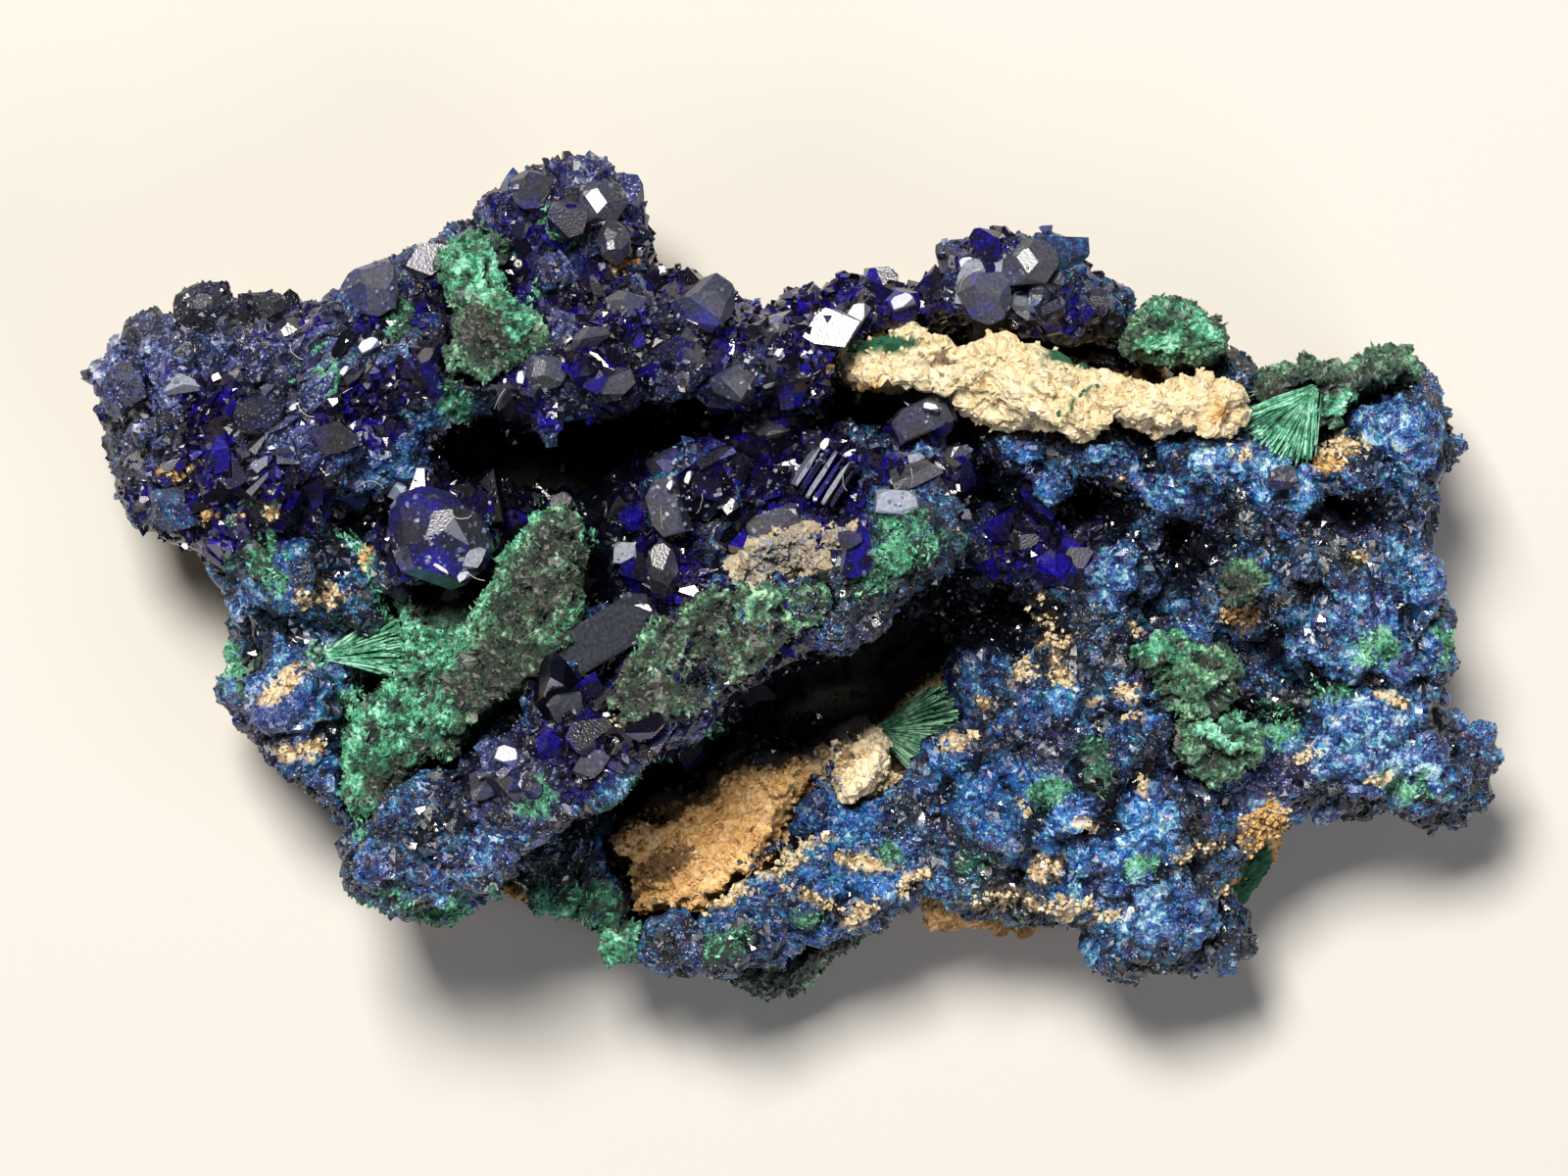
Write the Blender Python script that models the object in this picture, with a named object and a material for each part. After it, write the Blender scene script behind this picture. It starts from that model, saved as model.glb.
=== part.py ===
"""A hand specimen of azurite and malachite on clay and limonite rock, lying on its trimmed back.

The display face looks up, along +Z. X runs along the specimen's length, and the origin is on the
table, under the middle of its box. Every number in the lists below is in millimetres.
"""

import math
import random
from collections import namedtuple

import bmesh
import bpy
from mathutils import Matrix, Vector, noise
from mathutils.bvhtree import BVHTree

MM = 0.001

# Driving dimensions.
BACK_Z = 0.0  # the trimmed back that the specimen rests on
SLAB_TOP = 8.0  # thickness of the rock slab behind the crystals
CRUST_LOW = 4.6  # how far down the flanks the azurite comes
CRUST_TOP = 11.6  # the azurite between the lumps
SLAB_INSET = 3.2  # how far the azurite stands out past the rock
CRUST_INSET = 0.7  # room for the lumps' own roughness
GAP = 0.5  # clearance between two minerals, before they are thinned out
LEAST_GAP = 0.3  # and after it
GRAIN = 0.75  # size of the smallest lump that the solids keep
FACET_GRAIN = 0.42  # how sharply the crystals' edges are kept
CUTTER_GRAIN = 0.6
CUTTER_FACES = 7000
FLANK_SPACING = 3.1  # distance between the lumps around the edge
SEED = 11
# Triangles kept in each solid.
CRUST_FACES = 5000
ROCK_FACES = 1750
CLUSTER_FACES = 700
MALACHITE_FACES = {
    "malachite_wall": 560,
    "malachite_ledge_skin": 150,
    "malachite_cap": 180,
    "malachite_back_mound": 120,
    "malachite_east_band": 160,
    "malachite_keel": 110,
    "malachite_tuft_upper": 130,
    "malachite_tuft_lower": 130,
    "malachite_tuft_small": 60,
    "malachite_south_foot": 70,
}

Lump = namedtuple("Lump", "x y z rx ry rz turn", defaults=(0.0,))
Plate = namedtuple("Plate", "low high outline")
Crystal = namedtuple("Crystal", "x y z length width thickness turn tilt heading")

# ---- the rock ---------------------------------------------------------------------------------

# The specimen's outline from above, clockwise from its west end.
OUTLINE = [
    (-36.6, 9.8), (-35.3, 11.4), (-34.4, 12.8), (-32.2, 14.4), (-30, 14.9), (-26.4, 14.5), (-25.8, 13.4),
    (-24.4, 14.1), (-22.6, 15.8), (-20.5, 15.3), (-20.2, 16.7), (-18.2, 17.7), (-16.9, 18.2),
    (-16.7, 19.8), (-15, 20.9), (-12.7, 21.2), (-11, 21.8), (-8.9, 20.6), (-7.7, 18.2), (-8.1, 16.2),
    (-7.4, 14.6), (-4.8, 15.3), (-3, 14.3), (-1.6, 13.3), (-0.4, 14.9), (3.6, 15.4), (6.9, 14.9),
    (8.6, 17), (10.6, 18), (13.8, 17.1), (16.2, 15.2), (17.3, 14), (19.2, 14.7), (21.6, 13.5),
    (22.9, 12.3), (25.4, 10.9), (28.1, 10.8), (31, 11.9), (32.5, 10.8), (33.9, 7.7), (32.6, 5.2),
    (32, 2), (33.8, 0.2), (34.1, -1.6), (33.5, -3.4), (32.3, -4.9), (34, -6.8), (36.3, -8.2),
    (35.4, -10.1), (35.2, -12), (30.9, -12.3), (28.4, -11.6), (25.4, -12.6), (24.8, -15), (23.2, -17.8),
    (22.2, -19.8), (20, -20.4), (17.2, -20.9), (15.6, -18.7), (11.4, -18.6), (7, -18), (5.1, -16.8),
    (2.8, -19.2), (-0.2, -21.7), (-3.8, -21.6), (-5.8, -20.8), (-9.4, -20.2), (-11, -18.1),
    (-13.8, -17.5), (-15.2, -15.8), (-16.8, -16.8), (-18.6, -18), (-21.4, -17), (-22.7, -14.6),
    (-24.1, -11.2), (-28.3, -8), (-30, -5.6), (-29, -1.2), (-29.6, 0.4), (-34.1, 2.6), (-35.4, 5.5),
    (-36.4, 8.4),
]

# Hollows that open upwards between the azurite masses, down to the rock.
HOLLOWS = [
    Plate(7.0, 18.5, [  # the west cave, under the roof
        (-19, 4.4), (-18.6, 7.4), (-16, 8.8), (-10, 8.9), (-6, 9.4), (-2, 9.4), (0, 8.4), (-2, 7.8),
        (-5, 8.0), (-8.6, 7.2), (-9.6, 4.4), (-9.6, 1.6), (-10.8, 4.2), (-14, 5.2), (-15.6, 4.6),
    ]),
    Plate(7.6, 16.0, [(1.6, 7.4), (1.6, 9.6), (5, 9.9), (8.4, 9.4), (8.2, 7.8), (5, 7.8)]),
    Plate(6.6, 19.5, [  # the lower cave, behind the slanting ledge
        (-11.4, -13.6), (-8.4, -12.8), (-4.4, -10.2), (-2.6, -8.4), (1, -7.2), (4, -7.8), (8.4, -7.4),
        (8.2, -5.0), (8.0, -2.2), (4.5, -1.6), (0.4, -4.2), (-2.4, -6.2), (-6.8, -9), (-9.6, -11.4),
    ]),
    Plate(7.0, 17.0, [(8.2, 3.4), (8.4, 6.2), (10.8, 6.2), (11.4, 4.4), (10.8, 2.6)]),
    Plate(8.6, 17.0, [(13.8, 3.2), (14.0, 5.4), (16.4, 5.4), (16.2, 3.2)]),
    Plate(8.6, 17.0, [(26.0, 3.2), (26.4, 4.6), (29.0, 4.7), (29.8, 3.8), (28.6, 2.9)]),
    Plate(8.6, 16.5, [(8.6, -0.2), (12.6, -0.8), (12.6, -3.2), (9.0, -3.6)]),
    Plate(8.6, 16.5, [(19.6, -6.2), (22.0, -6.6), (26.0, -5.8), (26.0, -6.8), (22.0, -7.4), (19.4, -7.0)]),
    Plate(8.6, 17.0, [(-24.0, 4.2), (-19.8, 4.6), (-19.6, 2.8), (-21.6, 0.6), (-22.4, 2.6)]),
]
# The ground that the ochre mound, the keel and the foot of the wall rise from is bare rock.
BARE_ROCK = [
    Plate(7.0, 13.6, [
        (-10.4, -15.6), (-8.6, -13.6), (-4.4, -10.4), (-1.0, -9.0), (-0.2, -11.4), (-1.6, -14.8),
        (-4.8, -16.8), (-8.6, -17.6),
    ]),
    Plate(0.0, 13.0, [(-4.6, -20.6), (-4.2, -22.4), (1.0, -22.4), (4.4, -18.4), (3.6, -17.4), (0, -19)]),
    Plate(0.0, 13.0, [(22.9, -12.4), (26.0, -12.4), (26.0, -18.0), (23.0, -18.0), (22.4, -15.4)]),
]

# The ochre mound in the lower hollow.
OCHRE_MOUND = Plate(3.0, 12.8, [
    (-8.8, -17.4), (-8.2, -15), (-10.6, -13.9), (-9.4, -13), (-7, -12.2), (-4, -9.9), (-3.4, -8.2),
    (-2, -8), (-1.2, -9.4), (0.2, -8.2), (0.4, -10.2), (-0.4, -12), (-1, -13.8), (-2, -15.2),
    (-4, -16.5), (-6, -17.4),
])

# The pale clay ledge, and the rib that carries it.
CLAY_WEST = Plate(15.0, 21.5, [
    (1.9, 10.2), (2.3, 12), (4.4, 12.4), (6.4, 12.9), (7.4, 11.6), (6.8, 9.8), (4.6, 9.5), (3.5, 9.1),
])
CLAY_MIDDLE = Plate(14.5, 22.8, [
    (6.2, 9.9), (8, 11.2), (9.2, 12.2), (10.6, 12.5), (12, 12), (13.2, 11.4), (14.5, 10.4),
    (14.2, 8.6), (13.2, 6.7), (12.7, 7.8), (11, 7.8), (9, 8.4), (7.4, 8.7),
])
CLAY_EAST = Plate(14.5, 22.4, [
    (13.4, 10), (14.8, 10.7), (16.2, 10.9), (17.2, 10), (18.4, 9.7), (20, 10.5), (21.5, 10.5),
    (22.6, 9.6), (22.9, 8), (22.1, 7), (20, 7.2), (18.2, 7.6), (16.4, 8.1), (14.8, 7.5), (13.4, 6.9),
])
CLAY_RIB = Plate(5.0, 17.0, [
    (3.4, 10.2), (5, 11.8), (10, 11.6), (14, 10.6), (20.5, 9.8), (21.6, 8.8), (20, 8), (14, 8.4),
    (9, 9), (5, 9.8),
])

ROCK_LUMPS = [
    Lump(3.5, -9.7, 9.6, 1.8, 1.9, 4.6),  # the pale nub beside the mound
    Lump(2.6, -8.3, 9.4, 1.1, 0.9, 4.0),
    Lump(24.0, -13.0, 7.2, 1.5, 2.0, 4.0, 10),  # bare rock below the right arm
    Lump(22.6, -15.8, 6.6, 2.0, 2.2, 4.0),
    Lump(7.4, -16.6, 6.8, 1.5, 1.9, 3.6),
    Lump(-1.2, -19.2, 4.8, 3.6, 1.9, 3.2, 18),  # the foot of the lower ridge
    Lump(-13.0, -15.2, 6.0, 2.6, 2.6, 4.0),
    Lump(-29.5, 3.4, 6.0, 2.6, 2.2, 4.6),
    # Broken rock that shows on the flanks, below the azurite.
    Lump(-33.4, 8.6, 4.0, 2.4, 4.0, 4.6),
    Lump(-28.4, 12.2, 3.6, 4.4, 2.2, 3.8, -8),
    Lump(-26.8, -5.0, 3.4, 2.4, 4.0, 4.4, -20),
    Lump(-18.6, -14.4, 3.6, 3.2, 2.4, 4.4, 20),
    Lump(12.4, -16.0, 3.8, 4.2, 2.2, 5.0),
    Lump(33.0, -9.4, 3.4, 2.6, 2.2, 4.0),
    Lump(31.2, 7.6, 3.6, 2.2, 3.6, 4.4),
    Lump(3.2, 12.8, 4.0, 4.6, 2.2, 5.0),
    Lump(-13.0, 18.0, 3.8, 3.6, 2.4, 4.6),
]

# ---- azurite ----------------------------------------------------------------------------------

WEST_LOBE = [
    Lump(-32.1, 9.4, 12.5, 3.9, 4.0, 6.0),
    Lump(-30.2, 11.5, 13, 3.0, 2.8, 5.4),
    Lump(-27.4, 12.0, 13, 1.9, 2.1, 5.2),
    Lump(-26.4, 10.2, 13.6, 4.0, 3.5, 6.4),
    Lump(-28.6, 6.3, 13.6, 4.0, 3.0, 5.8),
    Lump(-33.0, 5.4, 11.6, 2.4, 3.0, 4.8),
    Lump(-31.2, 3.9, 11.4, 2.8, 2.0, 4.6),
    Lump(-23.6, 11.8, 13.6, 2.9, 2.4, 6.4),
    Lump(-22.4, 14.0, 11.6, 1.7, 1.8, 5.2),
    Lump(-23.2, 6.8, 13.2, 4.0, 2.8, 6.0),
    Lump(-19.4, 15.0, 11.6, 1.6, 2.4, 4.8, -25),
    Lump(-18.0, 16.0, 11.4, 1.4, 1.8, 4.6, -25),
    Lump(-20.0, 10.6, 14.6, 3.0, 2.8, 6.6),
    Lump(-19.8, 6.6, 12.0, 1.9, 1.6, 5.4),
]
TOP_KNOB = [
    Lump(-11.8, 18.4, 12.6, 3.9, 3.2, 4.6),
    Lump(-15.0, 18.8, 12.2, 1.9, 1.6, 3.8),
    Lump(-9.4, 17.8, 12.6, 1.9, 2.1, 4.4),
    Lump(-12.0, 15.2, 12.4, 4.1, 1.9, 5.4),
]
ROOF = [
    Lump(-17.2, 11.0, 17.0, 2.6, 2.4, 5.6),
    Lump(-14.0, 10.9, 18.0, 3.0, 2.7, 5.0),
    Lump(-10.6, 11.4, 18.4, 2.8, 2.9, 4.8),
    Lump(-7.4, 12.2, 18.4, 2.5, 2.6, 4.8),
    Lump(-4.8, 12.5, 18.8, 2.5, 2.6, 4.8),
    Lump(-2.4, 11.2, 19.0, 2.5, 2.1, 4.4),
    Lump(0.2, 11.3, 18.2, 2.0, 1.8, 4.4),
    Lump(0.4, 9.4, 17.8, 1.5, 1.1, 3.6),
    Lump(-5.6, 10.0, 18.2, 2.2, 1.2, 3.6),
]
ROOF_BACKING = [
    Lump(-15.5, 13.0, 11.0, 4.0, 2.2, 6.0),
    Lump(-9.0, 12.6, 11.0, 4.0, 1.6, 7.0),
    Lump(-3.6, 12.6, 11.0, 3.4, 1.7, 7.0),
]
# The thick slanting ledge in front, which stands proud of the rest, and what it stands on.
LEDGE = [
    Lump(-20.0, -14.0, 18.6, 2.7, 2.6, 4.2, 20),
    Lump(-16.6, -13.2, 20.4, 3.4, 2.6, 3.6, 20),
    Lump(-13.0, -10.2, 21.8, 3.6, 2.4, 3.6, 38),
    Lump(-9.6, -7.6, 22.8, 3.4, 2.0, 3.2, 34),
    Lump(-6.0, -5.0, 23.4, 3.9, 2.7, 3.0, 28),
    Lump(-2.2, -2.9, 23.8, 3.6, 2.6, 3.0, 30),
    Lump(1.9, -0.9, 23.8, 3.2, 2.4, 3.0, 30),
    Lump(5.0, 1.9, 23.4, 3.0, 2.5, 3.4, 40),
    Lump(6.1, 4.6, 22.4, 2.2, 2.3, 3.4, 20),
    Lump(-10.6, -10.6, 18.8, 2.7, 1.0, 1.8, 30),
]
LEDGE_FOOT = [
    Lump(-19.4, -11.2, 12.6, 2.8, 3.0, 7.0),
    Lump(-15.2, -8.4, 13.4, 3.0, 2.4, 8.0),
    Lump(-9.6, -3.8, 12.6, 3.8, 2.2, 8.0, 30),
    Lump(-4.4, -0.6, 12.8, 3.6, 2.2, 8.6, 25),
    Lump(1.0, 2.0, 13.0, 3.6, 2.2, 9.0, 25),
    Lump(5.4, 4.0, 13.0, 2.8, 2.4, 8.6),
]
HOLLOW_FLOOR = [
    Lump(-4.9, 5.0, 12.8, 2.9, 2.2, 6.0),
    Lump(-1.4, 6.0, 13.0, 2.6, 1.7, 5.6),
    Lump(2.2, 5.6, 14.0, 2.2, 1.7, 6.0, 25),
    Lump(6.6, 7.4, 14.4, 1.7, 1.4, 5.2),
    Lump(-7.2, 1.4, 12.6, 1.5, 3.0, 7.4),
    Lump(-4.2, 2.0, 12.4, 3.0, 1.8, 6.4),
    Lump(-10.0, 3.6, 9.0, 2.6, 2.6, 4.0),
    Lump(-18.4, 2.4, 13.6, 2.5, 2.3, 5.2),
    Lump(-18.0, 4.4, 11.0, 3.0, 2.0, 4.4),
]
SOUTHWEST = [
    Lump(-28.6, 1.6, 12.4, 1.6, 1.6, 4.6),
    Lump(-25.0, 0.6, 13.6, 3.0, 2.5, 5.4),
    Lump(-22.6, -0.8, 12.4, 1.7, 1.9, 4.8),
    Lump(-27.8, -2.2, 11.6, 1.6, 2.2, 4.6),
    Lump(-28.2, -5.2, 11.0, 1.8, 2.2, 4.6),
    Lump(-25.4, -6.2, 12.2, 2.8, 2.2, 4.8),
    Lump(-25.6, -8.2, 10.6, 2.0, 1.6, 4.2),
    Lump(-23.6, -10.4, 10.4, 1.5, 2.1, 4.4, 35),
    Lump(-24.0, -3.4, 9.0, 3.0, 2.4, 3.6),
    Lump(-21.8, -13.0, 12.0, 1.3, 2.0, 5.6, 20),
    Lump(-28.7, -4.2, 9.4, 1.3, 2.4, 3.8),
    Lump(-20.0, -16.2, 10.0, 2.0, 1.1, 3.6),
]
EAST_FIELD = [
    Lump(9.0, 4.8, 12.0, 2.4, 2.2, 5.0),
    Lump(11.4, 6.9, 14.6, 1.8, 1.3, 5.2),
    Lump(12.7, 4.9, 14.0, 1.4, 1.2, 4.6),
    Lump(15.7, 6.6, 15.6, 2.0, 1.3, 5.0),
    Lump(17.9, 4.8, 14.4, 1.4, 2.0, 5.2),
    Lump(20.4, 5.7, 15.6, 2.2, 2.1, 5.2),
    Lump(24.3, 5.2, 14.8, 2.5, 1.7, 5.2),
    Lump(27.6, 5.4, 14.2, 1.8, 1.5, 4.8),
    Lump(31.0, 7.2, 13.6, 2.9, 2.8, 5.2),
    Lump(31.0, 3.4, 12.6, 1.6, 1.7, 4.4),
    Lump(9.6, 1.0, 12.2, 2.0, 1.3, 5.0),
    Lump(12.9, 0.8, 12.4, 1.9, 1.6, 5.2),
    Lump(16.8, 0.9, 12.8, 2.0, 2.1, 5.6),
    Lump(15.2, -1.1, 12.6, 1.8, 1.3, 5.0),
    Lump(22.6, 2.2, 13.4, 2.3, 1.5, 5.2),
    Lump(25.2, 2.9, 13.2, 1.7, 1.3, 4.8),
    Lump(22.0, -1.2, 12.6, 2.6, 1.6, 5.0),
    Lump(27.4, 0.1, 14.0, 2.5, 2.3, 5.4),
    Lump(31.5, -0.2, 12.8, 2.2, 1.7, 5.0),
    Lump(32.9, -1.7, 12.0, 1.2, 1.0, 3.8),
    Lump(27.2, -3.0, 13.6, 3.0, 2.2, 5.4),
    Lump(31.2, -3.6, 12.8, 2.3, 1.7, 4.8),
    Lump(25.4, -4.5, 13.2, 1.7, 1.5, 4.8),
]
EAST_ARM = [
    Lump(28.4, -8.0, 12.6, 2.7, 2.0, 5.2),
    Lump(32.0, -8.1, 12.0, 2.6, 2.2, 4.8),
    Lump(34.5, -8.8, 11.2, 1.8, 1.3, 4.0),
    Lump(28.6, -10.3, 11.4, 2.4, 1.4, 4.4),
    Lump(33.0, -10.6, 11.2, 2.4, 1.3, 4.2),
    Lump(25.4, -10.8, 11.4, 1.7, 1.7, 4.4),
]
SOUTH_FIELD = [
    Lump(14.9, -4.2, 12.8, 2.6, 2.0, 5.2),
    Lump(13.4, -7.8, 13.2, 3.2, 1.9, 5.2),
    Lump(9.6, -9.4, 12.0, 2.6, 1.8, 4.8),
    Lump(18.6, -4.2, 12.8, 2.4, 2.0, 5.0),
    Lump(18.6, -8.9, 13.4, 1.7, 2.2, 5.2),
    Lump(21.9, -8.8, 13.0, 2.4, 2.2, 5.2),
    Lump(15.0, -11.8, 13.2, 3.6, 2.3, 5.2),
    Lump(20.4, -12.6, 12.6, 3.2, 2.5, 5.0),
    Lump(10.4, -12.6, 12.4, 3.2, 2.4, 4.8),
    Lump(6.5, -12.0, 11.6, 2.4, 2.0, 4.6),
    Lump(13.4, -15.4, 11.8, 3.4, 2.1, 4.8),
    Lump(8.8, -15.4, 11.0, 2.3, 1.8, 4.4),
    Lump(18.6, -15.6, 11.6, 3.0, 2.5, 4.8),
    Lump(18.4, -18.3, 10.8, 2.5, 2.3, 4.6),
    Lump(21.0, -18.2, 9.8, 1.8, 1.8, 3.8),
    Lump(22.0, -15.4, 10.0, 1.2, 1.8, 4.0),
    Lump(12.4, -17.3, 9.0, 2.8, 1.2, 3.4),
    Lump(22.2, -18.0, 8.8, 1.2, 1.7, 3.2),
    Lump(17.6, -19.6, 9.6, 1.7, 1.3, 3.6),
]
LOWER_RIDGE = [
    Lump(-6.0, -18.6, 11.0, 2.3, 1.6, 4.4),
    Lump(-2.6, -18.5, 11.4, 2.5, 1.9, 4.6),
    Lump(0.9, -17.2, 11.6, 2.5, 1.9, 4.6),
    Lump(3.8, -15.7, 11.4, 2.2, 1.8, 4.6),
    Lump(-0.6, -15.8, 10.6, 1.8, 1.0, 4.0, 25),
    Lump(1.4, -12.2, 9.0, 1.7, 1.9, 3.6),
    Lump(-12.6, -14.8, 8.4, 2.0, 1.4, 3.0, 20),
    Lump(-7.6, -19.2, 9.4, 1.9, 1.0, 3.4),
]
AZURITE_MASSES = [
    WEST_LOBE, TOP_KNOB, ROOF, ROOF_BACKING, LEDGE, LEDGE_FOOT, HOLLOW_FLOOR, SOUTHWEST,
    EAST_FIELD, EAST_ARM, SOUTH_FIELD, LOWER_RIDGE,
]

# The crystals that stand behind the clay ledge.
BACK_CLUSTER = [
    Lump(0.8, 13.7, 12.0, 2.0, 1.4, 4.2),
    Lump(3.9, 14.0, 13.0, 2.0, 1.5, 4.6),
    Lump(6.6, 13.9, 12.4, 1.9, 1.2, 4.4),
    Lump(10.4, 15.4, 13.0, 3.0, 2.4, 5.0),
    Lump(12.9, 14.7, 12.6, 2.0, 2.2, 4.6),
    Lump(15.3, 13.9, 12.0, 1.6, 1.6, 4.2),
    Lump(9.0, 14.4, 10.0, 3.0, 1.4, 4.0),
]

# Zones where stout crystals cover the azurite: centre, radius, how many, and their length.
CRYSTAL_ZONES = [
    (-31.2, 9.6, 3.6, 12, 4.0), (-26.0, 10.5, 4.4, 8, 3.8), (-29.5, 5.0, 3.4, 5, 3.2),
    (-22.5, 13.0, 3.0, 5, 3.4), (-12.0, 17.8, 3.4, 8, 3.4), (-13.5, 11.0, 3.4, 7, 3.4),
    (-7.0, 11.8, 3.4, 8, 3.8), (-1.5, 10.6, 2.8, 6, 3.6), (-4.0, 4.6, 3.2, 7, 4.0),
    (0.5, 5.4, 2.6, 4, 3.6), (-17.5, -13.2, 3.4, 4, 2.6), (-12.5, -8.6, 2.6, 4, 3.0),
    (5.0, 3.0, 2.8, 4, 3.2), (-22.5, 6.6, 3.4, 6, 3.4), (13.0, 1.0, 3.4, 4, 2.8),
]
BACK_ZONES = [(3.4, 14.0, 2.4, 5, 3.2), (11.2, 15.2, 2.4, 6, 3.6), (14.6, 14.2, 1.4, 2, 2.8)]

# Single crystals that stand out: the middle of the foot, then the size, and how each one leans.
LONE_CRYSTALS = [
    Crystal(-18.3, 2.1, 16.6, 6.4, 5.0, 4.2, 35, 62, 20),  # the big one in the west hollow
    Crystal(1.6, 5.9, 17.6, 5.2, 3.8, 1.7, 60, 78, 58),  # the striated blades
    Crystal(5.0, 4.0, 24.4, 2.9, 2.5, 2.0, 0, 30, 0),
    Crystal(-9.0, 1.2, 13.0, 2.6, 2.2, 2.0, 10, 20, 60),
    Crystal(-9.4, -2.6, 20.6, 5.6, 2.8, 1.8, 20, 74, 40),  # the slaty blade above the ledge
    Crystal(-1.2, 2.3, 20.4, 3.8, 2.8, 1.8, 15, 66, 20),
    Crystal(-6.6, 3.6, 17.4, 4.4, 2.6, 2.0, 80, 60, 80),
    Crystal(6.6, 8.0, 18.0, 3.6, 2.6, 2.2, 30, 60, 20),
    Crystal(-14.8, -8.9, 22.6, 2.6, 2.2, 1.8, 30, 40, 330),
    Crystal(-12.4, -5.6, 22.4, 3.6, 2.8, 2.2, 40, 60, 60),
    Crystal(22.6, 3.9, 16.8, 2.0, 1.8, 1.6, 10, 30, 90),
]
BACK_CRYSTALS = [
    Crystal(4.0, 14.0, 15.4, 3.4, 2.8, 2.2, 20, 30, 250),
    Crystal(9.4, 14.8, 15.6, 4.2, 3.6, 3.0, 40, 30, 200),
]

# ---- malachite --------------------------------------------------------------------------------

WALL_BLADE = Plate(12.0, 23.4, [
    (-12.4, 4.2), (-11.1, 3.5), (-10.7, 0.6), (-10.6, -2.6), (-12.8, -5.0), (-15.6, -6.8),
    (-18.2, -9.2), (-19.2, -8.0), (-17.6, -4.6), (-16.3, -1.6), (-15.4, 0.4), (-14.2, 2.4),
])
WALL_FOOT = Plate(9.5, 19.6, [
    (-23.4, -7.2), (-21.9, -5.5), (-20.2, -3.6), (-17.4, -3.2), (-17.2, -6.0), (-18.8, -8.4),
    (-20.0, -10.2), (-21.4, -12.8), (-22.6, -12.4), (-23.2, -9.6),
])
WALL_WEB = Plate(10.0, 17.0, [
    (-22.8, 2.7), (-21.3, 2.3), (-20.3, 0.2), (-19.7, -2.0), (-18.9, -4.0), (-20.3, -4.0),
    (-20.9, -1.0), (-21.7, 1.2),
])
WALL_SHADE = Plate(9.0, 13.0, [(-20.0, -0.4), (-16.4, -0.6), (-16.4, -4.6), (-19.6, -4.4)])
LEDGE_SKIN = Plate(25.2, 27.4, [
    (-9.6, -4.6), (-7.6, -2.0), (-4.6, -0.7), (-1.4, -0.2), (1.6, 0.4), (1.9, -1.3), (-0.6, -3.2),
    (-2.6, -5.0), (-5.0, -6.6), (-7.2, -7.2), (-9.4, -6.6),
])
CAP = Plate(18.8, 23.8, [
    (-18.1, 11.4), (-17.2, 13.4), (-15.4, 14.6), (-13.8, 13.8), (-12.8, 11.7), (-14.4, 11.3),
    (-15.6, 10.4), (-17.2, 10.4),
])
CAP_TRAIL = Plate(12.5, 20.4, [
    (-17.4, 12.2), (-18.2, 16.2), (-16.8, 17.7), (-14.9, 17.6), (-15.2, 15.8), (-14.9, 12.4),
])
BACK_MOUND = Plate(7.5, 16.6, [
    (16.7, 13.1), (18.8, 14.6), (20.2, 14.3), (21.8, 13.4), (22.6, 12.0), (21.4, 11.4), (18.8, 11.2),
    (17.0, 11.6),
])
EAST_BAND = Plate(10.0, 18.8, [
    (23.4, 10.2), (25.0, 11.0), (28.4, 10.6), (29.6, 11.5), (31.3, 11.8), (32.3, 10.8), (31.6, 10.3),
    (29.2, 10.0), (27.4, 8.0), (24.4, 8.4),
])
TUFT_UPPER = [
    Lump(18.5, -3.9, 18.2, 1.6, 1.3, 2.4), Lump(20.8, -4.5, 18.6, 1.9, 1.3, 2.6),
    Lump(20.4, -5.9, 18.0, 1.3, 0.9, 2.2),
]
TUFT_LOWER = [
    Lump(21.3, -8.0, 18.2, 1.5, 1.3, 2.4), Lump(22.8, -8.5, 18.0, 1.2, 1.2, 2.4),
    Lump(21.6, -9.6, 17.8, 1.4, 0.8, 2.0),
]
TUFT_SMALL = [Lump(22.6, -0.2, 18.0, 1.4, 1.1, 2.0)]
SOUTH_FOOT = [Lump(-9.1, -18.7, 10.6, 1.3, 1.5, 2.6)]
KEEL = Plate(3.4, 8.6, [
    (-4.2, -20.2), (-3.7, -21.6), (-1.8, -21.5), (-0.4, -21.8), (0.4, -20.9), (3.2, -18.9),
    (3.6, -17.8), (0.8, -18.4), (-2.4, -20.0),
])
# The sprays of fibres: the root, the direction, length, half angle and thickness of each fan.
Fan = namedtuple("Fan", "x y z heading length half_angle thickness rise")
WEST_FAN = Fan(-24.2, -3.9, 13.6, 10, 4.0, 24, 1.5, 8)
CAVE_FAN = Fan(4.6, -8.0, 9.6, -22, 3.9, 30, 1.8, 12)
EAST_FAN = Fan(26.2, 9.6, 18.4, 232, 3.6, 34, 1.6, -6)

COLOURS = {
    "limonite_clay": ((0.62, 0.42, 0.22, 1), 0.95),
    "azurite": ((0.02, 0.03, 0.22, 1), 0.25),
    "malachite": ((0.08, 0.36, 0.2, 1), 0.7),
}


# ---- tools ------------------------------------------------------------------------------------

def clear_scene():
    for obj in list(bpy.data.objects):
        bpy.data.objects.remove(obj)


def material(name):
    made = bpy.data.materials.get(name)
    if made is None:
        made = bpy.data.materials.new(name)
        made.use_nodes = True
        colour, roughness = COLOURS[name]
        shader = made.node_tree.nodes["Principled BSDF"]
        shader.inputs["Base Color"].default_value = colour
        shader.inputs["Roughness"].default_value = roughness
    return made


def new_object(name, bm, mineral):
    """An object from a bmesh that was modelled in millimetres."""
    mesh = bpy.data.meshes.new(name)
    bmesh.ops.scale(bm, vec=(MM, MM, MM), verts=bm.verts)
    bm.to_mesh(mesh)
    bm.free()
    mesh.materials.append(material(mineral))
    obj = bpy.data.objects.new(name, mesh)
    bpy.context.scene.collection.objects.link(obj)
    return obj


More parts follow.
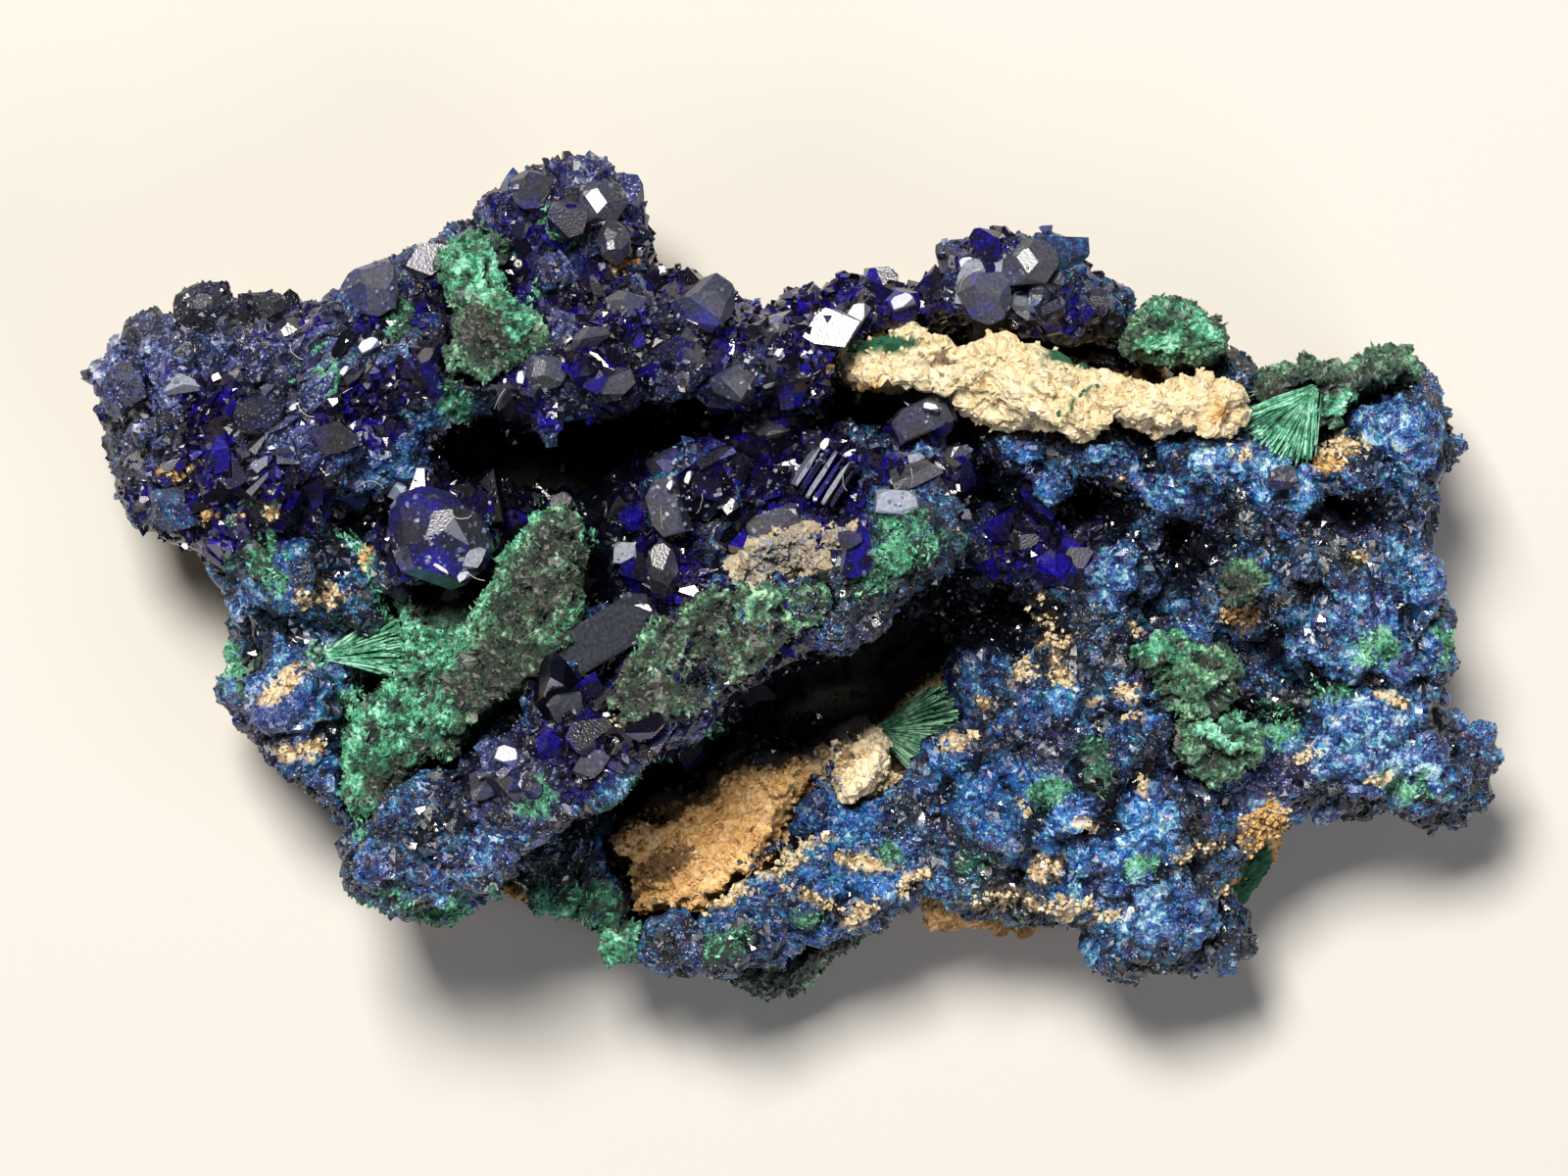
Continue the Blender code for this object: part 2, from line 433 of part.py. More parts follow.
def apply_modifiers(obj):
    graph = bpy.context.evaluated_depsgraph_get()
    mesh = bpy.data.meshes.new_from_object(obj.evaluated_get(graph))
    obj.modifiers.clear()
    obj.data = mesh


def inset(outline, distance):
    """The outline moved inwards, point by point; it runs clockwise."""
    points = [Vector(p) for p in outline]
    moved = []
    for i, point in enumerate(points):
        along = (points[(i + 1) % len(points)] - points[i - 1]).normalized()
        moved.append(point + Vector((along.y, -along.x)) * distance)
    return [tuple(p) for p in moved]


def add_lump(bm, lump):
    turn = Matrix.Rotation(math.radians(lump.turn), 4, "Z")
    size = Matrix.Diagonal((lump.rx, lump.ry, lump.rz, 1))
    place = Matrix.Translation((lump.x, lump.y, lump.z)) @ turn @ size
    bmesh.ops.create_icosphere(bm, subdivisions=3, radius=1, matrix=place)


def add_plate(bm, plate):
    """A slab over an outline, with its top and bottom edges drawn in."""
    points = [Vector(p) for p in plate.outline]
    middle = sum(points, Vector((0, 0))) / len(points)
    height = plate.high - plate.low
    profile = [(0.0, 0.86), (0.15, 0.97), (0.6, 1.0), (0.84, 0.95), (1.0, 0.8)]
    rings = []
    for share, draw in profile:
        ring = [middle + (p - middle) * draw for p in points]
        z = plate.low + share * height
        rings.append([bm.verts.new((p.x, p.y, z)) for p in ring])
    count = len(points)
    faces = [bm.faces.new(rings[0]), bm.faces.new(rings[-1])]
    for low, high in zip(rings, rings[1:]):
        for i in range(count):
            j = (i + 1) % count
            faces.append(bm.faces.new((low[i], low[j], high[j], high[i])))
    bmesh.ops.recalc_face_normals(bm, faces=faces)


def add_fan(bm, fan):
    """A wedge of fibres that opens from its root, with a ridged end."""
    ribs = 7
    root = Vector((fan.x, fan.y, fan.z))
    faces = []
    rims = []
    for side in (1, -1):
        rim = []
        for i in range(ribs):
            share = i / (ribs - 1) * 2 - 1
            angle = math.radians(fan.heading + share * fan.half_angle)
            reach = fan.length * (1.0 if i % 2 else 0.9)
            lift = math.tan(math.radians(fan.rise)) * reach + side * fan.thickness / 2
            rim.append(bm.verts.new(root + Vector((math.cos(angle) * reach, math.sin(angle) * reach, lift))))
        rims.append(rim)
    heading = math.radians(fan.heading)
    back = Vector((-math.cos(heading), -math.sin(heading), 0)) * 0.5
    roots = [bm.verts.new(root + back + Vector((0, 0, side * 0.3))) for side in (1, -1)]
    for rim, tip in zip(rims, roots):
        for a, b in zip(rim, rim[1:]):
            faces.append(bm.faces.new((tip, a, b)))
    for (a, b), (c, d) in zip(zip(rims[0], rims[0][1:]), zip(rims[1], rims[1][1:])):
        faces.append(bm.faces.new((a, c, d, b)))
    faces.append(bm.faces.new((roots[0], roots[1], rims[1][0], rims[0][0])))
    faces.append(bm.faces.new((roots[0], rims[0][-1], rims[1][-1], roots[1])))
    bmesh.ops.recalc_face_normals(bm, faces=faces)


def add_crystal(bm, foot, axis, spin, length, width, thickness):
    """A four-sided prism with a sunken foot and a truncated, wedge-shaped end."""
    turn = axis.to_track_quat("Z", "Y").to_matrix() @ Matrix.Rotation(spin, 3, "Z")
    rings = []
    for along, draw_x, draw_y in ((-0.35, 0.9, 0.9), (0.62, 1.0, 1.0), (1.0, 0.72, 0.38)):
        ring = []
        for sx, sy in ((1, 0.12), (0.12, 1), (-1, -0.12), (-0.12, -1)):
            local = Vector((sx * width / 2 * draw_x, sy * thickness / 1.5 * draw_y, along * length))
            ring.append(bm.verts.new(foot + turn @ local))
        rings.append(ring)
    faces = [bm.faces.new(rings[0]), bm.faces.new(rings[-1])]
    for low, high in zip(rings, rings[1:]):
        for i in range(4):
            j = (i + 1) % 4
            faces.append(bm.faces.new((low[i], low[j], high[j], high[i])))
    bmesh.ops.recalc_face_normals(bm, faces=faces)


def keep_largest(obj):
    """Deletes loose scraps, so that the mineral stays one body."""
    bm = bmesh.new()
    bm.from_mesh(obj.data)
    seen = set()
    groups = []
    for start in bm.faces:
        if start in seen:
            continue
        seen.add(start)
        group = [start]
        for face in group:
            pairs = [edge.link_faces for edge in face.edges if len(edge.link_faces) == 2]
            for other in (side for pair in pairs for side in pair):
                if other not in seen:
                    seen.add(other)
                    group.append(other)
        groups.append(group)
    groups.sort(key=len)
    scraps = [face for group in groups[:-1] for face in group]
    bmesh.ops.delete(bm, geom=scraps, context="FACES")
    bm.to_mesh(obj.data)
    bm.free()


def fuse(obj, voxel=GRAIN):
    """Makes one skin of all the overlapping shapes in the object."""
    remesh = obj.modifiers.new("fuse", "REMESH")
    remesh.mode = "VOXEL"
    remesh.voxel_size = voxel * MM
    apply_modifiers(obj)


def roughen(obj, knobs, waves):
    """Swells the skin into knobs and shifts it in waves, each (size, height) in millimetres."""
    normals = [v.normal.copy() for v in obj.data.vertices]
    for vert, normal in zip(obj.data.vertices, normals):
        place = vert.co / MM
        nearest = noise.voronoi(place / knobs[0])[0][0]
        push = (0.45 - nearest) * knobs[1] + noise.noise(place / waves[0]) * waves[1]
        vert.co += normal * push * MM


def thin_out(obj, triangles):
    """Lowers the face count and keeps the form."""
    faces = sum(len(p.vertices) - 2 for p in obj.data.polygons)
    decimate = obj.modifiers.new("thin", "DECIMATE")
    decimate.ratio = min(1.0, triangles / faces)
    apply_modifiers(obj)


def carve(obj, cutter):
    """Cuts the cutter out of the object, and throws the cutter away."""
    boolean = obj.modifiers.new("carve", "BOOLEAN")
    boolean.operation = "DIFFERENCE"
    boolean.solver = "EXACT"
    boolean.object = cutter
    apply_modifiers(obj)
    bpy.data.objects.remove(cutter)


def grown_cutter(objects, distance):
    """One skin around all the objects, with every face further out by the distance."""
    union = bmesh.new()
    for obj in objects:
        bm = bmesh.new()
        bm.from_mesh(obj.data)
        bm.normal_update()
        moves = [v.normal * distance * MM * min(2.0, v.calc_shell_factor()) for v in bm.verts]
        for vert, move in zip(bm.verts, moves):
            vert.co += move
        grown = bpy.data.meshes.new("grown")
        bm.to_mesh(grown)
        bm.free()
        union.from_mesh(grown)
    bmesh.ops.scale(union, vec=(1 / MM, 1 / MM, 1 / MM), verts=union.verts)
    cutter = new_object("cutter", union, "azurite")
    fuse(cutter, CUTTER_GRAIN)
    return cutter


def fit_between(obj, others, triangles):
    """Cuts the other minerals out of this one and thins it, then restores the clearance."""
    if others:
        carve(obj, grown_cutter(others, GAP))
    keep_largest(obj)
    thin_out(obj, triangles)
    keep_largest(obj)
    if others:
        cutter = grown_cutter(others, LEAST_GAP)
        thin_out(cutter, CUTTER_FACES)
        carve(obj, cutter)
    keep_largest(obj)


def trim_back(obj):
    """Cuts the back flat, as a saw would."""
    bm = bmesh.new()
    bm.from_mesh(obj.data)
    everything = bm.verts[:] + bm.edges[:] + bm.faces[:]
    cut = bmesh.ops.bisect_plane(
        bm, geom=everything, plane_co=(0, 0, BACK_Z * MM), plane_no=(0, 0, 1), clear_inner=True
    )
    edges = [item for item in cut["geom_cut"] if isinstance(item, bmesh.types.BMEdge)]
    bmesh.ops.contextual_create(bm, geom=edges)
    bmesh.ops.triangulate(bm, faces=bm.faces)
    bm.to_mesh(obj.data)
    bm.free()


# ---- minerals ---------------------------------------------------------------------------------

def rough_body(name, mineral, lumps=(), plates=(), hollows=(), knobs=(2.6, 1.3), waves=(5.0, 0.8)):
    """One mineral mass: lumps and plates grown together, hollowed out and roughened."""
    bm = bmesh.new()
    for lump in lumps:
        add_lump(bm, lump)
    for plate in plates:
        add_plate(bm, plate)
    obj = new_object(name, bm, mineral)
    fuse(obj)
    for hollow in hollows:
        bm = bmesh.new()
        add_plate(bm, hollow)
        carve(obj, new_object("hollow", bm, mineral))
    if hollows:
        fuse(obj)
    keep_largest(obj)
    roughen(obj, knobs, waves)
    return obj


def flank_lumps(rng):
    """Small lumps all round the edge, so that the azurite rolls down over the rock."""
    points = [Vector(p) for p in inset(OUTLINE, CRUST_INSET)]
    lumps = []
    travelled = 0.0
    for a, b in zip(points, points[1:] + points[:1]):
        inward = Vector(((b - a).y, -(b - a).x)).normalized()
        while travelled < (b - a).length:
            radius = rng.uniform(1.3, 2.5)
            centre = a + (b - a).normalized() * travelled + inward * (radius * 0.9)
            height = rng.uniform(CRUST_LOW + 0.6, CRUST_TOP)
            lumps.append(Lump(centre.x, centre.y, height, radius, radius, radius * rng.uniform(0.8, 1.4)))
            travelled += FLANK_SPACING * rng.uniform(0.7, 1.3)
        travelled -= (b - a).length
    return lumps


def grow_crystals(body, zones, lone, rng):
    """Seats stout crystals on the body in each zone, then joins them to it."""
    tree = BVHTree.FromObject(body, bpy.context.evaluated_depsgraph_get())
    bm = bmesh.new()
    for x, y, radius, count, length in zones:
        for _ in range(count):
            angle = rng.uniform(0, math.tau)
            reach = radius * math.sqrt(rng.random())
            above = Vector((x + reach * math.cos(angle), y + reach * math.sin(angle), 45)) * MM
            hit, normal, _, _ = tree.ray_cast(above, Vector((0, 0, -1)))
            if hit is None:
                continue
            lean = Vector((rng.uniform(-1, 1), rng.uniform(-1, 1), rng.uniform(-0.3, 0.6)))
            axis = (normal + 0.75 * lean).normalized()
            size = length * rng.uniform(0.6, 1.1)
            spin = rng.uniform(0, math.pi)
            wide = size * rng.uniform(0.6, 0.9)
            thick = size * rng.uniform(0.35, 0.6)
            add_crystal(bm, hit / MM - axis * size * 0.2, axis, spin, size * 0.8, wide, thick)
    for c in lone:
        tilt, heading = math.radians(c.tilt), math.radians(c.heading)
        axis = Vector((
            math.sin(tilt) * math.cos(heading), math.sin(tilt) * math.sin(heading), math.cos(tilt)
        ))
        foot = Vector((c.x, c.y, c.z)) - axis * c.length * 0.3
        add_crystal(bm, foot, axis, math.radians(c.turn), c.length * 0.75, c.width, c.thickness)
    bmesh.ops.scale(bm, vec=(MM, MM, MM), verts=bm.verts)
    bm.from_mesh(body.data)
    bm.to_mesh(body.data)
    bm.free()
    fuse(body, FACET_GRAIN)
    keep_largest(body)


def make_rock():
    slab = Plate(-3.0, SLAB_TOP, inset(OUTLINE, SLAB_INSET))
    plates = [slab, OCHRE_MOUND, CLAY_WEST, CLAY_MIDDLE, CLAY_EAST, CLAY_RIB]
    return rough_body("matrix_rock", "limonite_clay", ROCK_LUMPS, plates, knobs=(3.4, 1.5))


def make_fan(name, fan):
    bm = bmesh.new()
    add_fan(bm, fan)
    return new_object(name, bm, "malachite")


def make_fans():
    return [
        make_fan("malachite_west_fan", WEST_FAN),
        make_fan("malachite_cave_fan", CAVE_FAN),
        make_fan("malachite_east_fan", EAST_FAN),
    ]


def make_malachite_masses():
    walls = [WALL_BLADE, WALL_FOOT, WALL_WEB, WALL_SHADE]
    return [
        rough_body("malachite_wall", "malachite", plates=walls),
        rough_body("malachite_ledge_skin", "malachite", plates=[LEDGE_SKIN]),
        rough_body("malachite_cap", "malachite", plates=[CAP, CAP_TRAIL]),
        rough_body("malachite_back_mound", "malachite", plates=[BACK_MOUND]),
        rough_body("malachite_east_band", "malachite", plates=[EAST_BAND]),
        rough_body("malachite_keel", "malachite", plates=[KEEL]),
        rough_body("malachite_tuft_upper", "malachite", TUFT_UPPER),
        rough_body("malachite_tuft_lower", "malachite", TUFT_LOWER),
        rough_body("malachite_tuft_small", "malachite", TUFT_SMALL),
        rough_body("malachite_south_foot", "malachite", SOUTH_FOOT),
    ]


def main():
    clear_scene()
    rng = random.Random(SEED)
    malachite = make_fans()
    for mass in make_malachite_masses():
        fit_between(mass, malachite, MALACHITE_FACES[mass.name])
        malachite.append(mass)
    rock = make_rock()
    fit_between(rock, malachite, ROCK_FACES)
    trim_back(rock)
    cluster = rough_body("azurite_back_cluster", "azurite", BACK_CLUSTER, knobs=(1.9, 0.9))
    grow_crystals(cluster, BACK_ZONES, BACK_CRYSTALS, rng)
    fit_between(cluster, [rock, *malachite], CLUSTER_FACES)
    lumps = [lump for mass in AZURITE_MASSES for lump in mass] + flank_lumps(rng)
    body = Plate(CRUST_LOW, CRUST_TOP, inset(OUTLINE, CRUST_INSET))
    crust = rough_body("azurite_crust", "azurite", lumps, [body], HOLLOWS + BARE_ROCK)
    grow_crystals(crust, CRYSTAL_ZONES, LONE_CRYSTALS, rng)
    fit_between(crust, [rock, cluster, *malachite], CRUST_FACES)


main()
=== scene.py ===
# %% [markdown]
# # Azurite with malachite, a hand specimen
#
# The real thing is a lump of clay and limonite rock on which dark blue azurite and green malachite
# grew. The azurite is in stout glassy crystals in the west and in a fine sparkling crust in the
# east. A frame of plain solids gives where each mineral is. This lesson gives every one its skin:
# first a rough ground, then crystals, grains and fibres that are seated on that ground.
#
# Lengths are in millimetres, and MM turns them into Blender's metres.

# %% Load the frame
import math
from collections import namedtuple

import bpy
import numpy as np
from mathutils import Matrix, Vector
from mathutils.bvhtree import BVHTree


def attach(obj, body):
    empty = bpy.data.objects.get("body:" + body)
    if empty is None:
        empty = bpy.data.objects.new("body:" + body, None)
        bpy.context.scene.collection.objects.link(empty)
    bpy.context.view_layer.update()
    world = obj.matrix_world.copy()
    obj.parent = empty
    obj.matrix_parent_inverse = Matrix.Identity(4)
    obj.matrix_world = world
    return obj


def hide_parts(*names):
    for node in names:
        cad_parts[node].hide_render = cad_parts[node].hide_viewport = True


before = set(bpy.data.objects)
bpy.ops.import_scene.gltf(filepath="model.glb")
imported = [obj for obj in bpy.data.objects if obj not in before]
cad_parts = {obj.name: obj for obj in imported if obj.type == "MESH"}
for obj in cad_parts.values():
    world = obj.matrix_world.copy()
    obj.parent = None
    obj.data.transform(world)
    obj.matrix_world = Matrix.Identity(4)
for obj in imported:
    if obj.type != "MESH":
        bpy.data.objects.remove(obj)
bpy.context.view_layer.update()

MM = 0.001

# %% [markdown]
# ## Camera, floor and light
#
# The specimen lies on its trimmed back and the camera looks straight down on it, so up in the
# picture is +Y. A long lens a forearm away keeps the near crystals from looking larger than the far
# ones. One soft lamp stands high and a little beyond the far edge, which leaves the undersides of
# the roof and the ledge black and puts white glints on the crystal faces that happen to mirror it.
# A wide weak lamp on the near right side keeps the rest from going black as well.

# %% Camera
MIDDLE = (-0.75, -0.40)  # where the camera looks, in plan
VIEW_WIDTH = 80.0  # what the picture spans at the height of the crystals
CRYSTAL_HEIGHT = 18.0
CAMERA_ABOVE = 400.0
SENSOR = 36.0

place = Vector((*MIDDLE, CRYSTAL_HEIGHT + CAMERA_ABOVE)) * MM
bpy.ops.object.camera_add(location=place, rotation=(0, 0, 0))
camera = bpy.context.object
camera.name = "camera"
camera.data.sensor_width = SENSOR
camera.data.lens = SENSOR * CAMERA_ABOVE / VIEW_WIDTH
camera.data.clip_start, camera.data.clip_end = 10 * MM, 10
bpy.context.scene.camera = camera
print("lens", round(camera.data.lens), "mm")

# %% [markdown]
# Each material is a few nodes around Blender's general-purpose shader. Its colours are given as sRGB
# hex values, as a painter would mix them, and turned to linear where they go in.


# %% Colours and nodes
def linear(hex_colour, alpha=1.0):
    """The linear colour that Blender's sockets take, from an sRGB hex value."""
    shares = [int(hex_colour[i:i + 2], 16) / 255 for i in (1, 3, 5)]
    return (*[s / 12.92 if s <= 0.04045 else ((s + 0.055) / 1.055) ** 2.4 for s in shares], alpha)


def add(tree, kind, inputs=None, stops=None, **settings):
    """Adds a shader node, sets its properties and its ramp's stops, and fills or links its inputs."""
    node = tree.nodes.new("ShaderNode" + kind)
    for name, value in settings.items():
        setattr(node, name, value)
    for socket, value in (inputs or {}).items():
        if isinstance(value, bpy.types.NodeSocket):
            tree.links.new(value, node.inputs[socket])
        else:
            node.inputs[socket].default_value = value
    if stops:
        marks = node.color_ramp.elements
        while len(marks) < len(stops):
            marks.new(1.0)
        for mark, (place, colour) in zip(marks, stops):
            mark.position = place
            mark.color = linear(colour) if isinstance(colour, str) else (colour,) * 3 + (1,)
    return node


def new_material(name, colour="#808080", roughness=0.5):
    """A material with its nodes, and the shader that they lead to."""
    material = bpy.data.materials.new(name)
    material.use_nodes = True
    shader = material.node_tree.nodes["Principled BSDF"]
    shader.inputs["Base Color"].default_value = linear(colour)
    shader.inputs["Roughness"].default_value = roughness
    return material, shader


# %% [markdown]
# The floor is matt paper. Both lamps are square, which makes soft shadows, and each is turned to
# look at the middle of the specimen.

# %% Floor and lamps
FLOOR_SIDE = 2.4
AIM = Vector((0, 0, 0.015))  # the middle of the specimen
bpy.ops.mesh.primitive_plane_add(size=FLOOR_SIDE)
floor = bpy.context.object
floor.name = "floor"
floor.data.materials.append(new_material("matt_paper", "#cfccc6", 0.9)[0])


def soft_lamp(name, place, side, power, colour):
    """A square lamp, turned to look at the middle of the specimen."""
    turn = (AIM - Vector(place)).to_track_quat("-Z", "Y").to_euler()
    bpy.ops.object.light_add(type="AREA", location=place, rotation=turn)
    lamp = bpy.context.object
    lamp.name = name
    lamp.data.size = side
    lamp.data.energy = power
    lamp.data.color = linear(colour)[:3]


soft_lamp("key_lamp", (-0.10, 0.23, 0.66), 0.17, 7.4, "#fffaf2")
soft_lamp("fill_lamp", (0.42, -0.36, 0.60), 0.40, 1.7, "#eef2ff")
room = bpy.data.worlds.new("studio")
room.use_nodes = True
walls = room.node_tree.nodes["Background"]
walls.inputs["Color"].default_value = linear("#c9ccd2")
walls.inputs["Strength"].default_value = 0.10
bpy.context.scene.world = room
bpy.context.scene.view_settings.view_transform = "Standard"

# %% [markdown]
# ## Noise in three dimensions
#
# Rock is rough at every scale, and its minerals meet along ragged borders. Two kinds of noise give
# both. One is a smooth random field. The other is the distance to the nearest of scattered points,
# which makes the round knobs that grainy crusts grow in. Both work on whole arrays of points at
# once, which is far quicker than asking Blender for one point after another.


# %% Noise
CELL_STEPS = (374761393, 668265263, 2147483647)  # large odd numbers, so that near cells come out unlike


def scrambled(cells, seed):
    """A fixed random number from 0 to 1 for each whole-numbered cell."""
    mixed = cells @ np.array(CELL_STEPS) + seed * 1274126177
    mixed &= 0xFFFFFFFF
    for shift, stir in ((13, 1274126177), (16, 2246822519)):
        mixed = ((mixed ^ (mixed >> shift)) * stir) & 0xFFFFFFFF
    return ((mixed ^ (mixed >> 15)) & 0xFFFFFF) / 0xFFFFFF


SKEW = np.array([[0.73, 0.54, 0.42], [-0.61, 0.79, 0.05], [-0.31, -0.29, 0.91]])  # off every axis


def cells_of(points, size):
    """Where points lie in a skewed lattice of that size, and the cell that each is in."""
    at = points @ SKEW / size
    return at, np.floor(at).astype(np.int64)


def field(points, size, seed):
    """A smooth random field from 0 to 1 whose lumps are about size mm across."""
    at, low = cells_of(points, size)
    share = at - low
    share = share * share * (3 - 2 * share)
    total = np.zeros(len(points))
    for corner in np.ndindex(2, 2, 2):
        weight = np.prod(np.where(corner, share, 1 - share), axis=1)
        total += weight * scrambled(low + corner, seed)
    return total


def knobs(points, size, seed):
    """Round knobs about size mm across: 1 at the top of each, falling to 0 between them."""
    at, low = cells_of(points, size)
    nearest = np.full(len(points), 9.0)
    for step in np.ndindex(3, 3, 3):
        cell = low + np.array(step) - 1
        spot = cell + np.stack([scrambled(cell, seed + axis) for axis in range(3)], axis=1)
        nearest = np.minimum(nearest, ((spot - at) ** 2).sum(axis=1))
    return np.clip(1 - nearest / 0.75, 0, 1)


def rise(values, start, over):
    """0 up to start, then rising to 1 within over."""
    return np.clip((values - start) / over, 0, 1)


def four(count, *layers):
    """A row of four for each of count places, from arrays or from single numbers."""
    return np.stack([np.zeros(count) + layer for layer in layers], axis=1)


print("noise at the middle:", field(np.zeros((1, 3)), 1.0, 1), knobs(np.zeros((1, 3)), 1.0, 1))

# %% [markdown]
# ## Where each growth is
#
# Colour and habit change from place to place. Each place is an oval patch, laid out over
# the face of the specimen, and noise frays its edge. The fields of a patch are its middle, its two
# radii, how far it is turned, and the heights between which it counts. A growth is all of its
# patches together, and BORDERS says how noise frays them.

# %% Patches
Patch = namedtuple("Patch", "x y rx ry turn low high", defaults=(0, 0, 40))


def patches(*rows):
    """Patches from rows of numbers."""
    return [Patch(*row) for row in rows]


GLASSY = patches(  # stout dark crystals
    (-27.5, 9.2, 10, 7), (-12, 18.4, 5.4, 4.2), (-8, 12, 13.5, 5.2), (-1.5, 5.4, 11, 5),
    (-18.2, 2.4, 3.6, 3.2), (7.6, 15, 10.2, 3.4), (-7, -0.6, 8.5, 5, 28), (-10, -7.6, 6, 2.4, 34),
    (6.2, 5.4, 4.4, 4.6), (-29.5, 3.8, 4.6, 2.6), (12.4, 1.8, 3, 2.6), (-12.6, 2, 3, 5),
    (-1, -5.4, 7.5, 1.5, 32), (-13, -9.4, 4, 2, 30),
)
LOBE = patches((-27.5, 7.6, 6, 3.6, 20), (-24, 10.6, 3.2, 2), (-16.5, -10.6, 3, 1.4, 30))
GRAINY = patches(  # sparkling fine crust inside the glassy ground
    (-21.2, 5.8, 2.6, 1.1, 8), (-17.4, 8.6, 3, 0.9, 6), (7.4, 0.6, 2.4, 2.6, 30),
    (2.6, -2.6, 2.6, 1.6, 30), (-17.6, -13.4, 4.6, 2.6, 12), (12.6, 5, 1.6, 1.4),
    (-12.2, -12.4, 2.4, 1, 30), (16, 6.8, 2, 1.4), (-31.2, 12.4, 4.2, 2.2), (-33.8, 8.6, 2.2, 3.6),
    (-26.4, 10.4, 3.2, 1.5, -15), (-21.4, 11.8, 2.2, 1, 20),
)
VIVID = patches(  # bright azure blue
    (6.4, -12.4, 4.6, 2.2, 10), (11.6, -9, 5.2, 2.6, 10), (-1.8, -18.6, 4.6, 1.5, 8),
    (2.4, -15.4, 3.4, 1.5, 15), (0.8, -12, 1.8, 1.7), (19.4, -8.4, 1.5, 2.4), (-21, 5.8, 2.4, 1.2),
    (-25.4, 0.8, 2.8, 1.8), (12, 5.4, 2.4, 1.2), (-26.6, -8, 2.8, 2.8), (16.6, -12.6, 3.2, 2),
    (24.6, 4.2, 2.4, 1.8), (8, 6.2, 1.2, 1.8), (13, -13, 3, 2),
)
VIOLET = patches(  # crust of a violet cast
    (-29.5, 9.6, 9, 7), (-18, 15.6, 3.4, 2), (-12, 18.6, 5, 4), (-13, -9.4, 5.4, 2.4, 30),
    (-1, -5.6, 8, 1.4, 32), (-6, 11.4, 10, 4), (12.6, -8.2, 1.6, 0.9, 40), (27.6, 2.6, 2.6, 0.8),
    (-27.6, -7.6, 2.4, 1.8), (20.4, 2.6, 2, 1.2), (24.8, -10, 2.4, 1, 20),
)
FROSTED = patches(  # pale film of dust and finest crystals
    (28.2, -8.2, 3.2, 2.6), (32.6, -8.8, 3.6, 2.6), (27.6, -3, 3.4, 2.6), (31.6, -0.6, 2.6, 2.4),
    (20.6, 5.6, 2.2, 1.8), (15.8, 6.8, 1.9, 1.2), (-17.4, -13.6, 2.4, 1.4, 12), (-26.4, -5.2, 3.4, 3),
    (17.4, -13.6, 5, 3.4), (17, 0.4, 1.8, 1.8), (30.6, 7.4, 2.4, 2.2), (19.6, -17.8, 3, 2.2),
    (-21.2, 5.6, 2.2, 0.9, 8), (10.4, 15, 1.8, 1.4), (24.6, 4.8, 2, 1.4), (13, 5.2, 1.4, 1.1),
    (17.6, 4.6, 1.5, 1), (-33.4, 11, 2.6, 2.8), (24.6, 0.8, 2.6, 1.6),
)
SHADED = patches(  # caves and clefts, painted near black as shade
    (-14, 6.2, 6.2, 2.6, 0, 0, 15.5), (-5, 9, 5, 1.6, 0, 0, 16), (5, 8.6, 4.4, 1.8, 0, 0, 15.5),
    (2, -4.6, 9, 3.4, 32, 0, 17), (-6, -9.4, 6, 1.8, 34, 0, 8.6),
    (-10.2, -1, 2, 5.6, 0, 0, 17), (9.8, 4.6, 1.9, 1.8), (15, 4.4, 1.7, 1.3), (28.4, 3.6, 2.6, 1.3),
    (10.6, -2, 3.2, 2, 0, 0, 17), (19.8, 1.4, 1.4, 2), (22.6, -6.6, 4, 0.8, -6, 0, 17),
    (-21.8, 3.2, 2.6, 1.6, 0, 0, 15.5), (-17.8, -5.6, 1.2, 0.9, 0, 0, 16),
    (11.9, -12.8, 0.5, 1.6, -30, 0, 17.2), (-12.6, -14.6, 3.2, 1.6, 15, 0, 11),
    (20.6, 1, 1.2, 1.6, 0, 0, 15.4),
)
CLEFTS = patches(  # where the gaps between the lumps are deep, painted black as shade
    (18.8, 2.4, 3.4, 1.5, -30), (10.4, 3, 3.6, 1.4, 20), (15.2, 4.4, 2, 1.2), (28.4, 3.6, 3.2, 1.5),
    (10.2, -1.6, 4, 1.6), (17.6, -1.8, 1.8, 1), (21.6, 3.4, 1.8, 1.4), (22.8, -6.4, 4.4, 0.9, -6),
    (17, -6.4, 1.8, 1.4), (25, -3.4, 1.6, 1.2), (8.2, -4.2, 2.4, 1.2, 30), (15.6, -13.6, 1.2, 2),
    (28, -5.6, 2.6, 0.7), (-23.4, -7, 2, 1.4, 40), (-27.2, -1.8, 1.8, 0.8), (6.2, -6.4, 1.6, 1),
)
